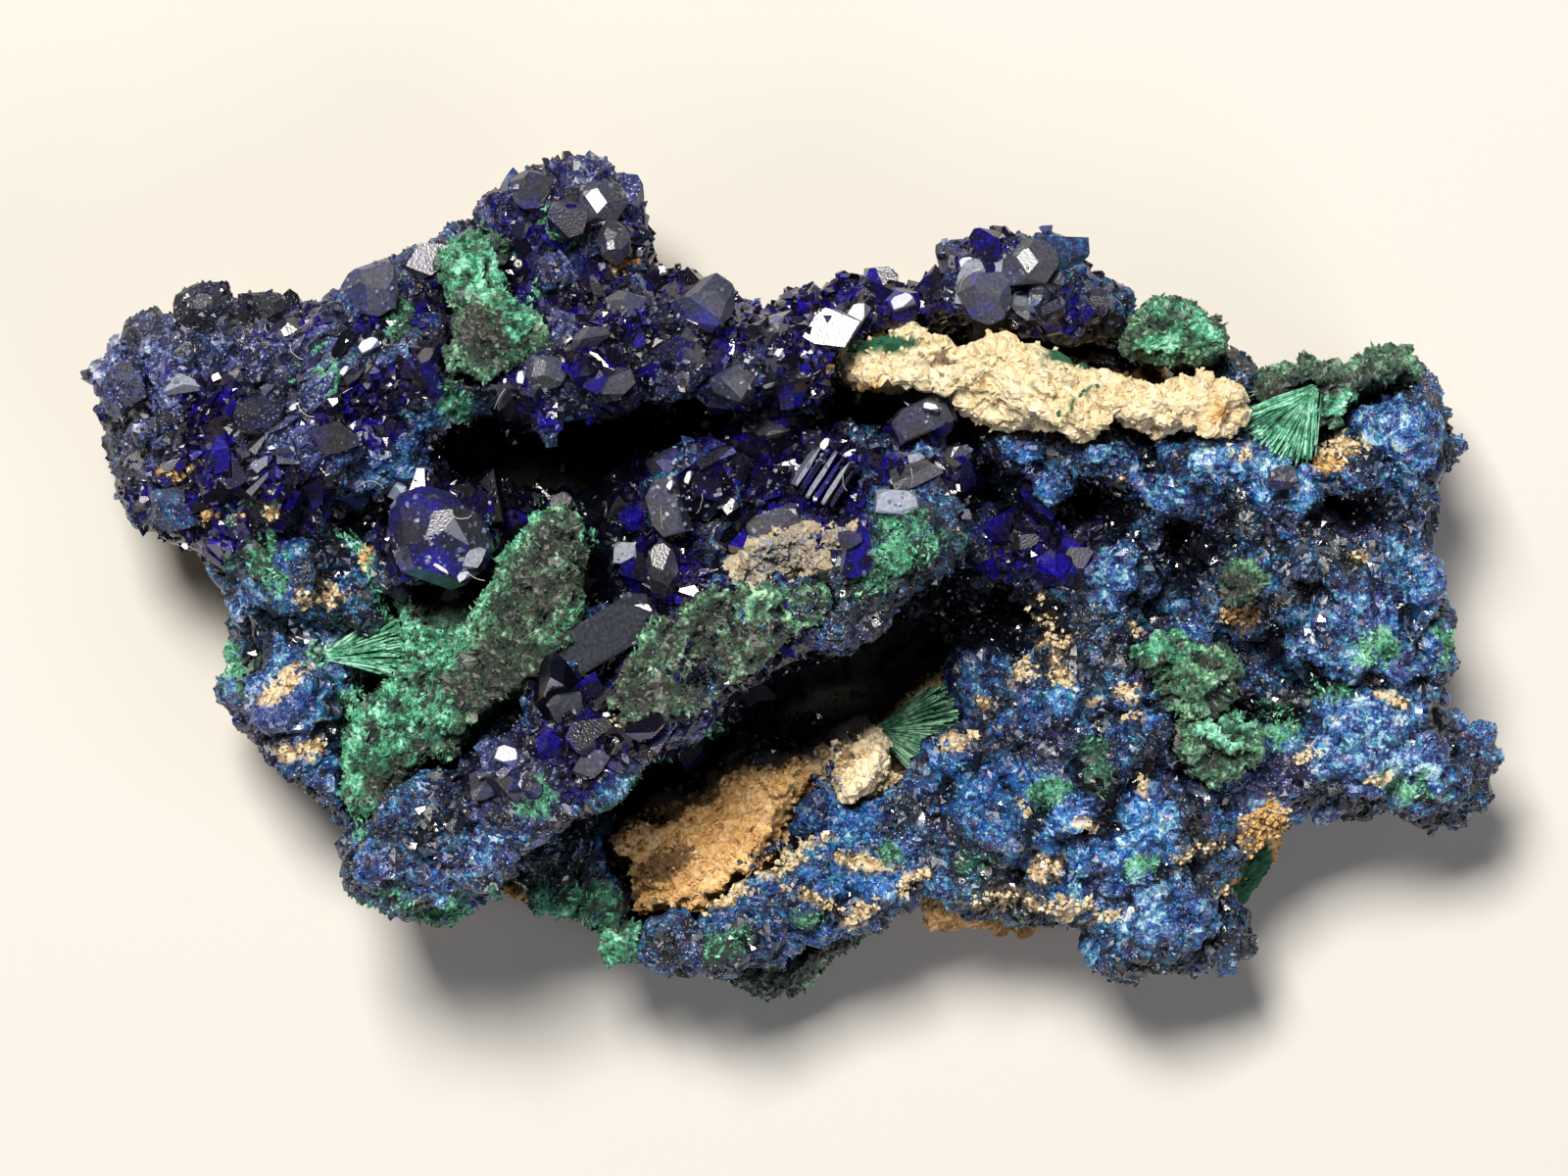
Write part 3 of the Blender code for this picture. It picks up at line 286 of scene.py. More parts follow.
MOSSY = patches(  # malachite dust on the azurite
    (-12, 18.2, 1, 0.8), (-17.3, 9.2, 0.8, 0.8), (-24, 11, 1.2, 1, 30),
    (-20.3, 14, 1, 1.3, 0, 14), (-24.6, -3.9, 0.8, 0.5), (-22.9, -6.4, 0.5, 1),
    (-27.5, 1.9, 1.4, 1.9, 20), (5.4, 2.1, 1.9, 1.2, 20), (-13.2, -10.8, 0.8, 0.7),
    (-18, -17, 1.6, 0.8), (-13, -16.8, 2.8, 1.2), (24.6, -7.4, 0.8, 1.1), (15.2, -8.6, 0.8, 0.4),
    (15.4, -10.3, 0.6, 0.8), (9, -14.8, 0.7, 1), (17.8, -14.6, 0.9, 0.6), (4.6, -14.2, 0.5, 0.6),
    (-3.6, -18.6, 1.1, 0.5, 25), (0.6, -17.4, 0.8, 0.4), (10.8, -18.3, 1, 0.7), (29.4, -3.4, 1, 0.7),
    (31.6, -10.4, 1.7, 0.6, -10), (33.2, -3.2, 0.7, 1.1), (-4.6, -8.4, 4.6, 0.5, 30),
    (-29.2, -4.2, 0.7, 1.4), (-21, -16.4, 1.6, 0.6), (-1, -14.6, 1, 0.35, 30),
    (24.6, -15.8, 0.8, 2), (12.6, -10.8, 1, 0.7), (19, 14, 1.6, 0.8), (27, -5.6, 1.1, 0.6),
    (3.6, 0.2, 1.2, 0.7, 30), (-16.2, 16.8, 1.6, 1.6, 0, 15),
)
CLAYEY = patches(  # crumbs of cream clay
    (-23.9, -0.7, 0.75, 0.65), (-25.3, -1, 0.5, 0.4), (11.7, -4.8, 0.7, 0.6),
    (13.5, -4.9, 0.35, 0.8, 20), (13.4, -3.2, 0.6, 0.4), (13, -2, 0.5, 0.4), (28.6, 1.2, 0.5, 0.3),
    (12.8, -14.8, 0.9, 0.7), (13.6, -16.6, 1.8, 0.4), (10.2, -16.4, 1, 0.6),
    (-0.6, -14.4, 2.4, 0.3, 22), (2.8, -14.6, 1.6, 0.25, -12), (-2.6, -16, 1.8, 0.3, 30),
    (0.8, -16.4, 1.5, 0.25, -20), (3.4, -17, 0.9, 0.3, 40), (-5.2, -16.8, 1.8, 0.3, 12),
    (-20.6, 16.6, 0.5, 0.5, 0, 14), (-8.8, -7, 0.7, 0.6), (27.5, 6.8, 1.3, 0.6), (15, -6.2, 0.4, 0.2),
    (12.4, -1, 0.5, 0.2, 40), (26.4, -8.8, 0.9, 0.2, 30), (30.6, -6.2, 0.8, 0.2, -20),
    (17.4, -2.6, 0.4, 0.2), (20.6, -13.8, 1.2, 0.25, 20), (15.4, -17.2, 1.2, 0.3),
    (6, -15.4, 0.9, 0.4, 30), (22.6, 6.4, 0.5, 0.2), (3, -8.8, 1.8, 2),
    (-15.2, 19.4, 1.6, 0.9, 0, 18), (-26.6, -5.6, 1.2, 0.4, 30), (-25.6, -8.6, 1.2, 0.3),
    (16.8, -5.6, 0.6, 0.3), (8.4, -8.4, 0.9, 0.15, 30), (17.6, -10.6, 0.2, 0.9),
    (11.4, -11.6, 0.15, 0.8, 20), (14.6, -12.4, 0.8, 0.15, -30), (29.4, -10.2, 1, 0.2),
    (22, -16, 0.9, 0.2, 20),
)
OCHRE = patches(  # limonite stain
    (-31.9, 5.4, 0.9, 0.6), (-30.2, 3.4, 0.5, 0.5), (-28.4, 3, 0.4, 0.3), (-26.9, 3.4, 0.4, 0.3),
    (-22.2, 1.2, 0.35, 0.5), (-9.1, 16.3, 0.6, 0.5), (22.6, -1.7, 1.2, 0.5), (26.8, 6, 1, 0.4),
    (21.5, 8.6, 1.1, 0.7), (3.8, 10.4, 1.6, 0.8), (-3.2, -8.8, 1, 0.7), (9.6, -6.4, 0.4, 0.3),
    (24, -13, 1.4, 1.6), (-19.6, 16.2, 1, 0.6, 0, 15), (16.6, 5.2, 0.25, 0.2),
    (17.4, -7, 0.6, 0.2, 16),
)


def within(points, ovals, fray, grain, seed, soft=0.12):
    """How far each point is inside the nearest patch, 0 to 1, with a border that noise frays."""
    nearness = np.zeros(len(points))
    for patch in ovals:
        turn = math.radians(patch.turn)
        dx, dy = points[:, 0] - patch.x, points[:, 1] - patch.y
        along = (dx * math.cos(turn) + dy * math.sin(turn)) / patch.rx
        across = (dy * math.cos(turn) - dx * math.sin(turn)) / patch.ry
        level = (points[:, 2] >= patch.low) & (points[:, 2] <= patch.high)
        nearness = np.maximum(nearness, np.clip(1.5 - np.hypot(along, across), 0, 1) * level)
    wander = 0.5 * field(points, 3.2 * grain, seed) + 0.5 * field(points, grain, seed + 1) - 0.5
    return np.clip((nearness + fray * wander - 0.5) / soft + 0.5, 0, 1) * (nearness > 0.02)


BORDERS = {  # the patches, how much noise frays them, how coarse it is, its seed, how soft the edge is
    "stout": (GLASSY, 0.3, 1.2, 5), "grainy": (GRAINY, 0.7, 0.5, 6), "vivid": (VIVID, 1.2, 0.7, 7),
    "frosted": (FROSTED, 1.2, 0.6, 8), "shaded": (SHADED, 0.3, 0.6, 9), "hollow_shade": (SHADED, 0.2, 1, 9),
    "mossy": (MOSSY, 3.4, 0.4, 10), "clayey": (CLAYEY, 2.6, 0.3, 11), "rusty": (OCHRE, 1.6, 0.3, 12),
    "violet": (VIOLET, 0.8, 1, 13, 0.5), "cleft": (CLEFTS, 0.6, 1.2, 14, 0.5),
    "slanted": (LOBE, 0.4, 1.2, 15),
}


def share_of(growth, points):
    """How much of one growth each point has, 0 to 1."""
    return within(points, *BORDERS[growth])


BIG_LUMP, SMALL_LUMP = 3.3, 1.2
HOLLOW = 0.43  # painted shade: a place this low between the lumps is painted dark, and sooner in a cleft
DIM = 0.40  # painted shade: a place that sees less of the sky than this is painted dark


def lumps(points):
    """How far out a place is on the lumps that a crust grows in: 1 on top of one, 0 between them."""
    return 0.6 * knobs(points, BIG_LUMP, 61) + 0.4 * knobs(points, SMALL_LUMP, 66)


def glassiness(points):
    """1 where azurite is in stout crystals and 0 where it is a fine crust."""
    breaks = rise(field(points, 2.2, 77), 0.56, 0.1)
    return share_of("stout", points) * (1 - share_of("grainy", points)) * (1 - 0.85 * breaks)


def azurite_paint(points, sky):
    """Two colour layers for azurite: (glassy, vivid, frosted, painted shade), (mossy, clayey, rusty, violet).
    """
    out = lumps(points)
    # Painted shade: dark between the lumps (more in clefts, less among stout crystals), where little sky is
    # seen, and in the shaded patches.
    edge = HOLLOW + 0.24 * share_of("cleft", points)
    hollow = np.clip((edge - out) / 0.18, 0, 0.98) * (1 - 0.6 * share_of("stout", points))
    deep = np.clip((DIM - sky) / 0.25, 0, 1)
    shaded = np.maximum(np.maximum(share_of("shaded", points), hollow), deep)
    frosted = share_of("frosted", points) * np.clip(2.2 * out - 0.5, 0, 1)
    dust = [share_of(growth, points) for growth in ("mossy", "clayey", "rusty", "violet")]
    return {"growth": four(len(points), glassiness(points), share_of("vivid", points), frosted, shaded),
            "dust": four(len(points), *dust)}


def clean_paint(points, sky):
    """The same without dust, for crystals too large to be dusty all over."""
    layers = azurite_paint(points, sky)
    layers["dust"][:, :3] = 0
    return layers


AZURITE_PATCHES = GLASSY + LOBE + GRAINY + VIVID + VIOLET + FROSTED + SHADED + CLEFTS + MOSSY + CLAYEY + OCHRE
print("patches:", len(AZURITE_PATCHES))

# %% [markdown]
# ## The ground
#
# Each solid of the frame is a coarse, faceted body. A copy of it is merged, remeshed to small even
# voxels and smoothed, and its points are then pushed along their normals by noise. The result is
# the ground from which crystals and fibres grow. Remeshing a copy keeps every lump where the frame
# has it, which sculpting from a sphere could not.

# %% Ground tools
Skin = namedtuple("Skin", "points faces normals")
FINE_EDGE = 0.002  # mm: points nearer than this are one
BACK_SKIN = 0.12  # mm: points lower than this are the trimmed back


def pick_only(obj):
    """Selects one object and nothing else."""
    bpy.ops.object.select_all(action="DESELECT")
    obj.select_set(True)
    bpy.context.view_layer.objects.active = obj


def skin_of(obj):
    """The mesh's points in mm, its triangles, and the normals at its points."""
    mesh = obj.data
    mesh.calc_loop_triangles()
    points, normals = np.empty((2, len(mesh.vertices) * 3))
    mesh.vertices.foreach_get("co", points)
    mesh.vertices.foreach_get("normal", normals)
    faces = np.empty(len(mesh.loop_triangles) * 3, np.int64)
    mesh.loop_triangles.foreach_get("vertices", faces)
    return Skin(points.reshape(-1, 3) / MM, faces.reshape(-1, 3), normals.reshape(-1, 3))


def tree_of(objects):
    """Several meshes in one search tree, to cast rays against."""
    points, faces = [], []
    for obj in objects:
        skin = skin_of(obj)
        faces += (skin.faces + len(points)).tolist()
        points += skin.points.tolist()
    return BVHTree.FromPolygons(points, faces)


solids = tree_of(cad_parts.values())
FAR = 90.0  # mm: outside the specimen from anywhere in it
CLEAR = 0.5  # mm: a ray starts this far off the ground, clear of its roughness
ASIDE, UP = 0.77, 0.64  # a direction fifty degrees off the vertical
SKY = [Vector((0, 0, 1))] + [Vector((ASIDE * math.cos(turn), ASIDE * math.sin(turn), UP))
                             for turn in np.arange(6) * math.tau / 6]


def sky_seen(points, normals):
    """How much of the sky each place sees, 0 to 1, and whether it can be seen from outside at all."""
    starts = (points + CLEAR * normals).tolist()
    sky = np.zeros(len(points))
    for direction in SKY:
        for index in np.flatnonzero(normals @ np.array(direction) > -0.1):
            sky[index] += solids.ray_cast(starts[index], direction)[0] is None
    open_air = sky > 0
    for index in np.flatnonzero(~open_air):
        place = Vector(points[index])
        ways = SKY + [Vector(normals[index])]
        depths = [solids.ray_cast(place + FAR * way, -way)[3] or 2 * FAR for way in ways]
        open_air[index] = max(depths) > FAR - 1.0
    return sky / len(SKY), open_air


def thin_hidden(obj, keep=0.07):
    """Collapses most of the faces that lie inside the specimen, where nobody can see them."""
    skin = skin_of(obj)
    hidden = ~sky_seen(skin.points, skin.normals)[1]
    for polygon in obj.data.polygons:
        polygon.select = bool(hidden[list(polygon.vertices)].all())
    pick_only(obj)
    bpy.ops.object.mode_set(mode="EDIT")
    bpy.ops.mesh.select_mode(type="FACE")
    bpy.ops.mesh.decimate(ratio=keep)
    bpy.ops.object.mode_set(mode="OBJECT")


def ground_of(node, name, voxel, passes=3):
    """A remeshed, softened copy of a frame solid, coarse again where nobody can see it."""
    obj = bpy.data.objects.new(name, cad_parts[node].data.copy())
    bpy.context.scene.collection.objects.link(obj)
    obj.data.materials.clear()
    pick_only(obj)
    bpy.ops.object.mode_set(mode="EDIT")
    bpy.ops.mesh.select_all(action="SELECT")
    bpy.ops.mesh.remove_doubles(threshold=FINE_EDGE * MM)
    bpy.ops.object.mode_set(mode="OBJECT")
    remesh = obj.modifiers.new("even", "REMESH")
    remesh.mode = "VOXEL"
    remesh.voxel_size = voxel * MM
    soften = obj.modifiers.new("soften", "SMOOTH")
    soften.factor = 0.6
    soften.iterations = passes
    for modifier in list(obj.modifiers):
        bpy.ops.object.modifier_apply(modifier=modifier.name)
    thin_hidden(obj)
    bpy.ops.object.shade_flat()
    return obj


def push_out(obj, push):
    """Moves each point along its normal by push mm, but never below the trimmed back."""
    skin = skin_of(obj)
    moved = skin.points + skin.normals * push[:, None]
    flat = skin.points[:, 2] < BACK_SKIN
    moved[flat] = skin.points[flat]
    moved[:, 2] = np.maximum(moved[:, 2], 0)
    obj.data.vertices.foreach_set("co", (moved * MM).ravel())
    obj.data.update()


def set_values(obj, domain="POINT", **layers):
    """Writes arrays as named attributes: single values, or colours of four."""
    for name, values in layers.items():
        kind = "FLOAT_COLOR" if values.ndim == 2 else "FLOAT"
        layer = obj.data.attributes.new(name, kind, domain)
        layer.data.foreach_set("color" if values.ndim == 2 else "value", values.astype(np.float32).ravel())


def settle(obj, material, slot, *nodes):
    """Gives the piece its material, rides it on the specimen and hides the frame solids that it stands for.
    """
    obj.data.materials.clear()
    obj.data.materials.append(material)
    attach(obj, "root")
    if nodes:
        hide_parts(*nodes)
    print(f"{obj.name}: {sum(len(p.vertices) - 2 for p in obj.data.polygons)} triangles")


# %% [markdown]
# ## Finishes
#
# Azurite is a copper carbonate with a glassy surface and an index of refraction near 1.75. In a
# stout crystal nearly all light that enters is lost, so its faces look black or grey by reflection
# and only here and there ultramarine. In a fine crust the light leaves again after a short way,
# which gives azure. The same material mixes both by the layers painted above. Each facet carries a
# random number of its own, so neighbours differ as they do on the real thing.
#
# Every colour is a ramp of tones from dark to light. How light a place is, "toned", adds up the
# shade of its grain, which on the crust is lighter on the tops of the lumps as painted light, and
# noises that are a fifth of a millimetre across, the finest that shows, to nearly four. Mix nodes
# then lay one coat over another, by how much of it the place has. Among the coats are painted
# light and shade: white glints on the crests, and near black in the caves and between the lumps.

# %% Azurite
AZURITE_IOR = 1.75
RISE_INPUTS = ("Value", "From Min", "From Max", "To Min", "To Max")
AZURITE_NOISE = {  # how many mm across, then detail, roughness and twist
    "speck": (0.2, 4, 0.75, 0), "pits": (0.12, 2, 0.5, 0), "blotch": (1.5, 3, 0.5, 0),
    "swirl": (0.8, 3, 0.5, 1.2), "drift": (3.6, 2, 0.5, 0),
}
AZURITE_TONES = {
    "crust": [(0.16, "#02040c"), (0.31, "#071436"), (0.44, "#102e72"), (0.56, "#20509f"),
              (0.67, "#427ab8"), (0.77, "#8ab0d0"), (0.88, "#ece8de")],
    "azure": [(0.16, "#030c22"), (0.30, "#082864"), (0.43, "#0f4c9e"), (0.57, "#1f70bc"),
              (0.70, "#5298d0"), (0.84, "#c8d8e0")],
    "teal": [(0.14, "#03131a"), (0.31, "#08344e"), (0.48, "#166086"), (0.64, "#4296b0"), (0.80, "#b4d4dc")],
    "violet": [(0.12, "#06040e"), (0.30, "#120c34"), (0.46, "#231a58"), (0.60, "#3c347a"),
               (0.74, "#7c78a2"), (0.86, "#d6d2d8")],
    "moss": [(0.12, "#0c2018"), (0.26, "#24604a"), (0.42, "#449470"), (0.60, "#7abc9c"), (0.78, "#bcdeca")],
    "clay": [(0.12, "#3a2c18"), (0.28, "#927850"), (0.45, "#cdb68c"), (0.7, "#ecdfc2")],
    "rust": [(0.12, "#2a1c0e"), (0.32, "#80602f"), (0.50, "#b8945a"), (0.72, "#e0c498")],
}
GLASS_TONES = [(0.0, "#05030a"), (0.25, "#090618"), (0.45, "#100b2c"), (0.58, "#181232"), (0.68, "#1c1722"),
               (0.76, "#262020"), (0.84, "#2e2b36"), (0.92, "#1c1648"), (1.0, "#4a4754")]
GLOWING = [(0.30, 0.0), (0.40, 1.0), (0.62, 0.8), (0.70, 0.15), (0.88, 0.15), (0.92, 0.8)]


def make_azurite():
    material, shader = new_material("azurite")
    tree = material.node_tree
    where = add(tree, "TexCoord").outputs["Object"]
    growth, dust, facet, grain = [add(tree, "Attribute", attribute_name=name).outputs
                                  for name in ("growth", "dust", "facet", "grain")]
    facet, grain = facet["Fac"], grain["Fac"]
    glassy, vivid, frosted = add(tree, "SeparateColor", {0: growth["Color"]}).outputs
    mossy, clayey, rusty = add(tree, "SeparateColor", {0: dust["Color"]}).outputs
    noise = {name: add(tree, "TexNoise", {"Vector": where, "Scale": 1 / (size * MM), "Detail": detail,
                                          "Roughness": rough, "Distortion": twist}).outputs["Fac"]
             for name, (size, detail, rough, twist) in AZURITE_NOISE.items()}
    speck, blotch, swirl = noise["speck"], noise["blotch"], noise["swirl"]
    toned = -1.45
    for part, weight in ((grain, 0.55), (speck, 1.2), (swirl, 0.75), (noise["drift"], 0.95), (frosted, 0.18)):
        toned = add(tree, "Math", {0: part, 1: weight, 2: toned}, operation="MULTIPLY_ADD").outputs[0]
    ramps = {name: (toned, stops) for name, stops in AZURITE_TONES.items()}
    ramps |= {"glass": (facet, GLASS_TONES), "glowing": (facet, GLOWING),
              "violet_blotches": (blotch, [(0.56, 0.0), (0.66, 0.7)]),
              "teal_swirls": (swirl, [(0.48, 0.0), (0.59, 0.85)])}
    ramp = {name: add(tree, "ValToRGB", {0: by}, stops).outputs["Color"]
            for name, (by, stops) in ramps.items()}
    rises = {  # what it goes by, between which of its values it changes, and from what to what
        "painted_glint": (noise["pits"], 0.62, 0.68, 0, 0.9), "crest": (grain, 0.35, 0.75, 0, 1),
        "glow": (blotch, 0.44, 0.62, 0, 0.85), "soot": (speck, 0.36, 0.60, 0.25, 1.25),
        "flour": (speck, 0.62, 0.72, 0, 0.45), "veil": (speck, 0.36, 0.62, 0.45, 1),
        "glaze": (facet, 0, 1, 0.07, 0.26), "spark": (facet, 0.84, 0.90, 0.48, 0.14)}
    share = {name: add(tree, "MapRange", dict(zip(RISE_INPUTS, row))).outputs[0]
             for name, row in rises.items()}
    for name, one, other, way in (
            ("painted_glint", share["painted_glint"], share["crest"], "MULTIPLY"),
            ("glow", share["glow"], ramp["glowing"], "MULTIPLY"),
            ("veil", share["veil"], frosted, "MULTIPLY"),
            ("painted_shade", growth["Alpha"], 0.95, "MULTIPLY"), ("cast", dust["Alpha"], 0.75, "MULTIPLY"),
            ("dusty", mossy, clayey, "MAXIMUM")):
        share[name] = add(tree, "Math", {0: one, 1: other}, operation=way).outputs[0]
    for name, one, other in (("violet", ramp["violet_blotches"], share["cast"]),
                             ("dusty", share["dusty"], rusty)):
        share[name] = add(tree, "Math", {0: one, 1: other}, operation="MAXIMUM").outputs[0]

    crust, glass = ramp["crust"], ramp["glass"]
    # Painted glints: white specks mixed into the crust colour on the tops of the lumps, where the pits noise
    # is high.
    for much, coat in ((vivid, ramp["azure"]), (ramp["teal_swirls"], ramp["teal"]),
                       (share["violet"], ramp["violet"]), (share["painted_glint"], linear("#dde2e8"))):
        crust = add(tree, "Mix", {0: much, 6: crust, 7: coat}, data_type="RGBA").outputs[2]
    for much, coat, blend in ((share["glow"], linear("#180b9c"), "MIX"), (1.0, share["soot"], "MULTIPLY"),
                              (share["flour"], linear("#8c8a98"), "MIX"),
                              (share["veil"], linear("#99a2b2"), "MIX")):
        glass = add(tree, "Mix", {0: much, 6: glass, 7: coat}, data_type="RGBA", blend_type=blend).outputs[2]
    body = crust
    # Over the crust or glass go malachite, clay and rust dust, and last the painted shade, near black in
    # caves and between the lumps.
    for much, coat in ((glassy, glass), (mossy, ramp["moss"]), (clayey, ramp["clay"]), (rusty, ramp["rust"]),
                       (share["painted_shade"], linear("#06050c"))):
        body = add(tree, "Mix", {0: much, 6: body, 7: coat}, data_type="RGBA").outputs[2]
    tree.links.new(body, shader.inputs["Base Color"])

    glaze = add(tree, "Math", {0: frosted, 1: 0.5, 2: share["glaze"]}, operation="MULTIPLY_ADD").outputs[0]
    rough = share["spark"]
    for much, other in ((glassy, glaze), (share["dusty"], 0.9), (share["painted_shade"], 0.12)):
        rough = add(tree, "Mix", {0: much, 2: rough, 3: other}, data_type="FLOAT").outputs[0]
    tree.links.new(rough, shader.inputs["Roughness"])
    shader.inputs["IOR"].default_value = AZURITE_IOR
    bump = add(tree, "Bump", {"Height": noise["pits"], "Strength": 0.3, "Distance": 0.04 * MM})
    tree.links.new(bump.outputs["Normal"], shader.inputs["Normal"])
    return material


azurite = make_azurite()

# %% [markdown]
# Malachite is a copper carbonate too, but it grows as silk-fine fibres. Seen on their ends or sides
# the fibres are mint green, and where the bundles are broken or stained they go dark green and
# brown. Sheen on a rough surface stands for the silky light that the fibres throw.

# %% Malachite
MALACHITE_IOR = 1.8
MALACHITE_TONES = {
    "deep": [(0.10, "#060d09"), (0.30, "#13321f"), (0.48, "#2c6042"), (0.66, "#56946c"), (0.82, "#a0c8a4")],
    "mint": [(0.12, "#061d14"), (0.29, "#155038"), (0.45, "#2a865f"), (0.61, "#50b088"), (0.77, "#9cdcc2")],
    "broken": [(0.16, "#050403"), (0.33, "#16100a"), (0.47, "#262216"), (0.59, "#2c4029"),
               (0.71, "#40664b"), (0.85, "#709680"), (0.97, "#b6c8b0")],
}


def make_malachite():
    material, shader = new_material("malachite", roughness=0.55)
    tree = material.node_tree
    where = add(tree, "TexCoord").outputs["Object"]
    growth = add(tree, "Attribute", attribute_name="growth").outputs["Color"]
    grain = add(tree, "Attribute", attribute_name="grain").outputs["Fac"]
    minty, broken, shaded = add(tree, "SeparateColor", {0: growth}).outputs
    speck, drift, pits = [
        add(tree, "TexNoise", {"Vector": where, "Scale": 1 / (size * MM), "Detail": detail,
                               "Roughness": rough}).outputs["Fac"]
        for size, detail, rough in ((0.3, 3, 0.65), (1.4, 3, 0.5), (0.14, 2, 0.5))]
    toned = -1.20
    for part, weight in ((grain, 0.40), (speck, 1.5), (drift, 1.4)):
        toned = add(tree, "Math", {0: part, 1: weight, 2: toned}, operation="MULTIPLY_ADD").outputs[0]
    ramp = {name: add(tree, "ValToRGB", {0: toned}, stops).outputs["Color"]
            for name, stops in MALACHITE_TONES.items()}
    body = ramp["deep"]
    # The shaded layer is painted shade, mixed to nearly black.
    for much, coat in ((minty, ramp["mint"]), (broken, ramp["broken"]), (shaded, linear("#0a0f0b"))):
        body = add(tree, "Mix", {0: much, 6: body, 7: coat}, data_type="RGBA").outputs[2]
    tree.links.new(body, shader.inputs["Base Color"])
    shader.inputs["IOR"].default_value = MALACHITE_IOR
    shader.inputs["Sheen Weight"].default_value = 0.25
    shader.inputs["Sheen Tint"].default_value = linear("#bdf0d6")
    bump = add(tree, "Bump", {"Height": pits, "Strength": 0.4, "Distance": 0.06 * MM})
    tree.links.new(bump.outputs["Normal"], shader.inputs["Normal"])
    return material


malachite = make_malachite()

# %% [markdown]
# The rock is clay and limonite, an earthy iron oxide. It is matt and porous. It runs from cream
# where it is clay, through ochre, to dark brown, and it is darker in its pits. The parts that hide
# in the caves are painted near black as shade.

# %% Clay and limonite
CLAY_TONES = {
    "cream": [(0.08, "#7a6040"), (0.25, "#b89c6c"), (0.42, "#d6c298"), (0.62, "#e6d7b6"), (0.85, "#f2e9d6")],
    "ochre": [(0.08, "#2e1b0c"), (0.22, "#7c562a"), (0.35, "#bf9152"), (0.54, "#deb478"), (0.80, "#f0d6a8")],
    "brown": [(0.1, "#0b0705"), (0.36, "#24160c"), (0.55, "#50331a"), (0.8, "#86603a")],
    "grey": [(0.08, "#2e2822"), (0.25, "#6e6456"), (0.42, "#958a7a"), (0.62, "#b0a698"), (0.85, "#d0c8bc")],
}


def make_clay():
    material, shader = new_material("clay_and_limonite", roughness=0.93)
    tree = material.node_tree
    where = add(tree, "TexCoord").outputs["Object"]
    growth, grain, drab = [add(tree, "Attribute", attribute_name=name).outputs
                           for name in ("growth", "grain", "drab")]
    ochre, brown, green = add(tree, "SeparateColor", {0: growth["Color"]}).outputs
    speck, pits = [
        add(tree, "TexNoise", {"Vector": where, "Scale": 1 / (size * MM), "Detail": detail,
                               "Roughness": rough}).outputs["Fac"]
        for size, detail, rough in ((0.35, 4, 0.7), (0.24, 3, 0.5))]
    toned = -0.2
    for part, weight in ((grain["Fac"], 0.45), (speck, 0.95)):
        toned = add(tree, "Math", {0: part, 1: weight, 2: toned}, operation="MULTIPLY_ADD").outputs[0]
    ramp = {name: add(tree, "ValToRGB", {0: toned}, stops).outputs["Color"]
            for name, stops in CLAY_TONES.items()}
    pores = add(tree, "MapRange", dict(zip(RISE_INPUTS, (pits, 0.32, 0.42, 0.45, 1)))).outputs[0]
    # Painted shade: where the growth layer marks caves, the rock is mixed to near black.
    painted_shade = add(tree, "Math", {0: growth["Alpha"], 1: 0.99}, operation="MULTIPLY").outputs[0]
    body = ramp["cream"]
    for much, coat, blend in ((ochre, ramp["ochre"], "MIX"), (brown, ramp["brown"], "MIX"),
                              (green, linear("#1f5a3e"), "MIX"), (drab["Fac"], ramp["grey"], "MIX"),
                              (1.0, pores, "MULTIPLY"), (painted_shade, linear("#050302"), "MIX")):
        body = add(tree, "Mix", {0: much, 6: body, 7: coat}, data_type="RGBA", blend_type=blend).outputs[2]
    tree.links.new(body, shader.inputs["Base Color"])
    bump = add(tree, "Bump", {"Height": pits, "Strength": 0.7, "Distance": 0.1 * MM})
    tree.links.new(bump.outputs["Normal"], shader.inputs["Normal"])
    return material


clay = make_clay()

# %% [markdown]
# ## Azurite ground
#
# The crust swells in lumps of one to three millimetres with tight clefts between them, most of all
# in the east. In the west it is calmer, because the crystals that cover it are what is rough there.

# %% Azurite ground
dice = np.random.default_rng(17)


def dressed(obj, finish, slot, node, push, layers):
    """Roughens a ground by push mm and gives it its colour layers and, for each face, a random number and a
    grain that is lighter on top of the lumps, as painted light.
    """
    push_out(obj, push)
    set_values(obj, **layers)
    shades = dice.random((2, len(obj.data.polygons)))
    middles = np.array([tuple(polygon.center) for polygon in obj.data.polygons]) / MM
    # grain is partly random tone and partly painted light: faces on top of a lump are lighter.
    set_values(obj, "FACE", grain=0.45 * shades[0] + 0.55 * lumps(middles), facet=shades[1])
    settle(obj, finish, slot, node)


def azurite_ground(node, name, voxel):
    """A ground of azurite, lumpy where it is a crust."""
    obj = ground_of(node, name, voxel)
    skin = skin_of(obj)
    layers = azurite_paint(skin.points, sky_seen(skin.points, skin.normals)[0])
    grainy = 1 - layers["growth"][:, 0]
    push = (0.35 + 1.45 * grainy) * (lumps(skin.points) - 0.5) + 0.4 * (field(skin.points, 2.2, 22) - 0.5)
    push += 0.34 * (field(skin.points, 0.55, 23) - 0.5)
    push -= 0.4 * rise(field(skin.points, 0.8, 27), 0.6, 0.1) * grainy
    dressed(obj, azurite, "azurite", node, push, layers)
    return obj


crust = azurite_ground("azurite_crust", "azurite_ground", 0.335)
back = azurite_ground("azurite_back_cluster", "azurite_back_ground", 0.3)

# %% [markdown]
# ## Rock ground
#
# The rock shows as the cream ledge in the north, the ochre mound in the lower hollow and bare
# patches around the edge. Its surface is pitted, so the noise mostly pushes inwards there.

